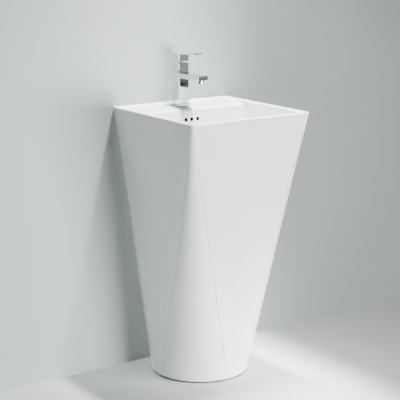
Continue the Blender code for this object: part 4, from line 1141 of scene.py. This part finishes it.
# %% Grip ribs
ribs, given = new_tree("grip_ribs", "Radius", "Length", "Width", "Count")
circle = put(ribs, "GeometryNodeMeshCircle", {"Vertices": given["Count"], "Radius": given["Radius"]})
rod_sizes = {"Vertices": 10, "Side Segments": 1, "Radius": given["Width"], "Depth": given["Length"]}
rod = put(ribs, "GeometryNodeMeshCylinder", rod_sizes)
on_circle = put(ribs, "GeometryNodeInstanceOnPoints", {"Points": circle, "Instance": rod})
end_tree(ribs, on_circle, given["Finish"])

RIBBED = {"neck_nut": ("Z", 28.5, 24), "outlet_nut": ("Y", 26.5, 24), "trap_inlet_nut": ("Z", 24.95, 22)}
for part, (axis, radius, count) in RIBBED.items():
    low, high, _ = span(part)
    along = 2 if axis == "Z" else 1
    middle = (low[along] + high[along]) / 2
    place = Vector((0, drain.y, middle)) if axis == "Z" else Vector((0, middle, outlet_z))
    length = high[along] - low[along] - 5 * mm
    grown(f"{part}_grip", ribs, part, place, None if axis == "Z" else TURN_TO_Y,
          Radius=(radius - 0.45) * mm, Length=length, Width=1.1 * mm, Count=count)

# %% Threads
threads, given = new_tree("stud_thread", "Radius", "Length", "Pitch", "Depth")
rounds = maths(threads, "DIVIDE", given["Length"], given["Pitch"])
helix = put(threads, "GeometryNodeCurveSpiral", {
    "Resolution": 24, "Rotations": rounds, "Height": given["Length"],
    "Start Radius": given["Radius"], "End Radius": given["Radius"],
})
ridge = put(threads, "GeometryNodeCurvePrimitiveCircle", {"Resolution": 4, "Radius": given["Depth"]})
wound = put(threads, "GeometryNodeCurveToMesh", {"Curve": helix, "Profile Curve": ridge, "Fill Caps": True})
end_tree(threads, wound, given["Finish"])

low, _, middle = span("tap_stud")
place = Vector((middle.x, middle.y, low.z + 1 * mm))
length = span("clamp_nut")[0].z - low.z - 2 * mm
grown("tap_stud_thread", threads, "tap_stud", place,
      Radius=3.9 * mm, Length=length, Pitch=1.25 * mm, Depth=0.35 * mm)
for side in ("left", "right"):
    low, _, middle = span(f"wall_stud_{side}")
    place = Vector((middle.x, low.y + 1 * mm, middle.z))
    length = span(f"stud_nut_{side}")[0].y - low.y - 2 * mm
    grown(f"wall_stud_thread_{side}", threads, f"wall_stud_{side}", place, TURN_TO_Y,
          Radius=4.9 * mm, Length=length, Pitch=1.5 * mm, Depth=0.4 * mm)

# %% [markdown]
# The aerator's insert is a plastic disc whose lower face is a grid of thin
# square cells. Each wire of the grid is a bar as long as the circle is wide
# where it lies.

# %% Aerator screen
screen, given = new_tree("aerator_screen", "Radius", "Pitch", "Wire", "Height")
twice = maths(screen, "MULTIPLY", given["Radius"], 2.0)
number = maths(screen, "FLOOR", maths(screen, "DIVIDE", twice, given["Pitch"]))
reach = maths(screen, "MULTIPLY", maths(screen, "SUBTRACT", number, 1.0), given["Pitch"])
start = put(screen, "ShaderNodeCombineXYZ", {"X": maths(screen, "MULTIPLY", reach, -0.5)})
step = put(screen, "ShaderNodeCombineXYZ", {"X": given["Pitch"]})
row = put(screen, "GeometryNodeMeshLine", {"Count": number, "Start Location": start, "Offset": step})
x = put(screen, "ShaderNodeSeparateXYZ", {0: put(screen, "GeometryNodeInputPosition")})
x_squared = maths(screen, "MULTIPLY", x, x)
radius_squared = maths(screen, "MULTIPLY", given["Radius"], given["Radius"])
half_chord = maths(screen, "SQRT", maths(screen, "SUBTRACT", radius_squared, x_squared))
chord = maths(screen, "MULTIPLY", half_chord, 2.0)
size = put(screen, "ShaderNodeCombineXYZ", {"X": given["Wire"], "Y": chord, "Z": given["Height"]})
cube = put(screen, "GeometryNodeMeshCube")
wires = put(screen, "GeometryNodeInstanceOnPoints", {"Points": row, "Instance": cube, "Scale": size})
crossing = put(screen, "GeometryNodeTransform", {"Geometry": wires, "Rotation": (0, 0, math.pi / 2)})
both = add(screen, "GeometryNodeJoinGeometry")
for geometry in (wires, crossing):
    screen.links.new(geometry, both.inputs[0])
end_tree(screen, both.outputs[0], given["Finish"])
place = Vector((aerator.x, aerator.y, span("aerator_insert")[0].z - 0.55 * mm))
grown("aerator_screen", screen, "aerator_insert", place,
      Radius=6.5 * mm, Pitch=1.3 * mm, Wire=0.3 * mm, Height=0.9 * mm)

# %% [markdown]
# ## Floor, wall, light and camera
#
# The floor is pale and matt. The basin stands against a pale wall, which takes
# its soft shadow and shows in the chrome. The wall has one side only: from
# behind it is clear, so that the back of the basin can be seen. Both carry
# painted shade: their colour darkens smoothly away from the basin, by given steps.

# %% Floor and wall


def sheet(name, corners, finish):
    mesh = bpy.data.meshes.new(name)
    mesh.from_pydata(corners, [], [(0, 1, 2, 3)])
    mesh.materials.append(finish)
    made = bpy.data.objects.new(name, mesh)
    bpy.context.scene.collection.objects.link(made)
    return made


def painted_falloff(tree, shader, axis, start, end, share):
    """Paints shade into the finish: darkens it smoothly to a share of its colour, from start to end metres on
    an axis.
    """
    apart = add(tree, "ShaderNodeSeparateXYZ", {0: add(tree, "ShaderNodeTexCoord").outputs["Object"]})
    ends = {"Value": apart.outputs[axis], 1: start, 2: end, 3: 1.0, 4: share}
    level = add(tree, "ShaderNodeMapRange", ends, interpolation_type="SMOOTHSTEP").outputs["Result"]
    was = shader.inputs["Base Color"].links[0].from_socket
    darker = add(tree, "ShaderNodeVectorMath", {0: was, "Scale": level}, operation="SCALE").outputs[0]
    tree.links.new(darker, shader.inputs["Base Color"])


floor_finish, tree, shader = surface("pale_floor", "E8EEED", "E5EBEA", 400 * mm, (0.5, 0.6))
# painted shade: the floor darkens to the right, the left and the front, leaving a painted pool of light round
# the foot
for shade_fall in (("X", 0.12, 0.45, 0.15), ("X", 0.1, -0.6, 0.35), ("Y", -0.6, -1.6, 0.4)):
    painted_falloff(tree, shader, *shade_fall)
wall_finish, tree, shader = surface("pale_wall_paint", "B1BAB9", "AEB7B6", 500 * mm, (0.7, 0.8))
# painted shade: the wall darkens to the right of the basin, towards the top and far to the left, where the
# light falls off
wall_painted_shade = (
    ("X", -0.15, 0.4, 0.38), ("Z", 0.9, 1.3, 0.85), ("X", -0.8, -1.8, 0.3), ("Z", 1.15, 1.7, 0.5),
)
for shade_fall in wall_painted_shade:
    painted_falloff(tree, shader, *shade_fall)
facing = add(tree, "ShaderNodeNewGeometry").outputs["Backfacing"]
clear = add(tree, "ShaderNodeBsdfTransparent").outputs[0]
one_sided = add(tree, "ShaderNodeMixShader", {0: facing, 1: shader.outputs[0], 2: clear}).outputs[0]
tree.links.new(one_sided, tree.nodes["Material Output"].inputs["Surface"])
WALL_Y = half_top + 0.5 * mm
FAR, WALL_HEIGHT = 6, 5
sheet("floor", [(-FAR, -FAR, 0), (FAR, -FAR, 0), (FAR, FAR, 0), (-FAR, FAR, 0)], floor_finish)
wall_foot = [(-FAR, WALL_Y, 0), (FAR, WALL_Y, 0)]
wall_head = [(FAR, WALL_Y, WALL_HEIGHT), (-FAR, WALL_Y, WALL_HEIGHT)]
wall = sheet("wall", wall_foot + wall_head, wall_finish)
print("stage", wall.name, "at y", WALL_Y)

# %% [markdown]
# The key softbox lights the front faces from the right and low down. A long
# narrow one above brightens the deck and the top edges, and a small spot lifts
# the floor beside the foot. The one behind shows the back, and the wall doesn't
# block its light. The sky glows on one side only, which gives the chrome a
# bright patch with a soft edge.

# %% Light


def lamp(name, place, target, size, power, beam=180):
    light = bpy.data.lights.new(name, "AREA")
    light.shape, light.size, light.size_y, light.energy = "RECTANGLE", size[0], size[1], power
    light.spread = math.radians(beam)
    made = bpy.data.objects.new(name, light)
    made.location = place
    made.rotation_euler = (Vector(target) - Vector(place)).to_track_quat("-Z", "Y").to_euler()
    bpy.context.scene.collection.objects.link(made)
    return made


lamp("key_softbox", (0.7, -2.7, 0.5), (0, 0, 0.3), (1.6, 0.8), 170)
lamp("top_softbox", (0.2, 0.15, 2.6), (0.1, 0.14, 0.8), (1.0, 0.1), 95, beam=80)
lamp("floor_spot", (0.9, -1.3, 0.9), (0.22, -0.05, 0), (0.3, 0.3), 3, beam=30)
rear = lamp("rear_softbox", (-0.1, 3.2, 1.9), (0, 0, 0.5), (1.6, 1.6), 90)
unshaded = bpy.data.collections.new("casts_no_rear_shadow")
unshaded.objects.link(wall)
unshaded.collection_objects[0].light_linking.link_state = "EXCLUDE"
rear.light_linking.blocker_collection = unshaded
world = bpy.data.worlds.new("studio")
bpy.context.scene.world = world
world.use_nodes = True
sky = world.node_tree
sky.nodes["Background"].inputs["Color"].default_value = colour("E9EEEE")
toward = add(sky, "ShaderNodeTexCoord").outputs["Generated"]
GLOW_FROM = (0.57, -0.81, -0.12)
share = add(sky, "ShaderNodeVectorMath", {0: toward, 1: GLOW_FROM}, operation="DOT_PRODUCT").outputs["Value"]
glow = add(sky, "ShaderNodeMapRange", {"Value": share, 1: 0.8, 2: 0.92, 3: 0.13, 4: 0.6}).outputs["Result"]
sky.links.new(glow, sky.nodes["Background"].inputs["Strength"])
print("lights", len(bpy.data.lights))

# %% [markdown]
# The camera stands to the left at the front, above the rim, and looks slightly
# down through a long lens.

# %% Camera
lens = bpy.data.cameras.new("view")
lens.lens, lens.sensor_width = 109.67, 36
lens.clip_start, lens.clip_end = 0.05, 60
camera = bpy.data.objects.new("view", lens)
yaw, pitch = math.radians(34.716), math.radians(12.94)
camera.location = (-2.1215, -3.007, 1.406)
camera.rotation_euler = (math.pi / 2 - pitch, 0, -yaw)
bpy.context.scene.collection.objects.link(camera)
bpy.context.scene.camera = camera
print("camera at", tuple(camera.location))
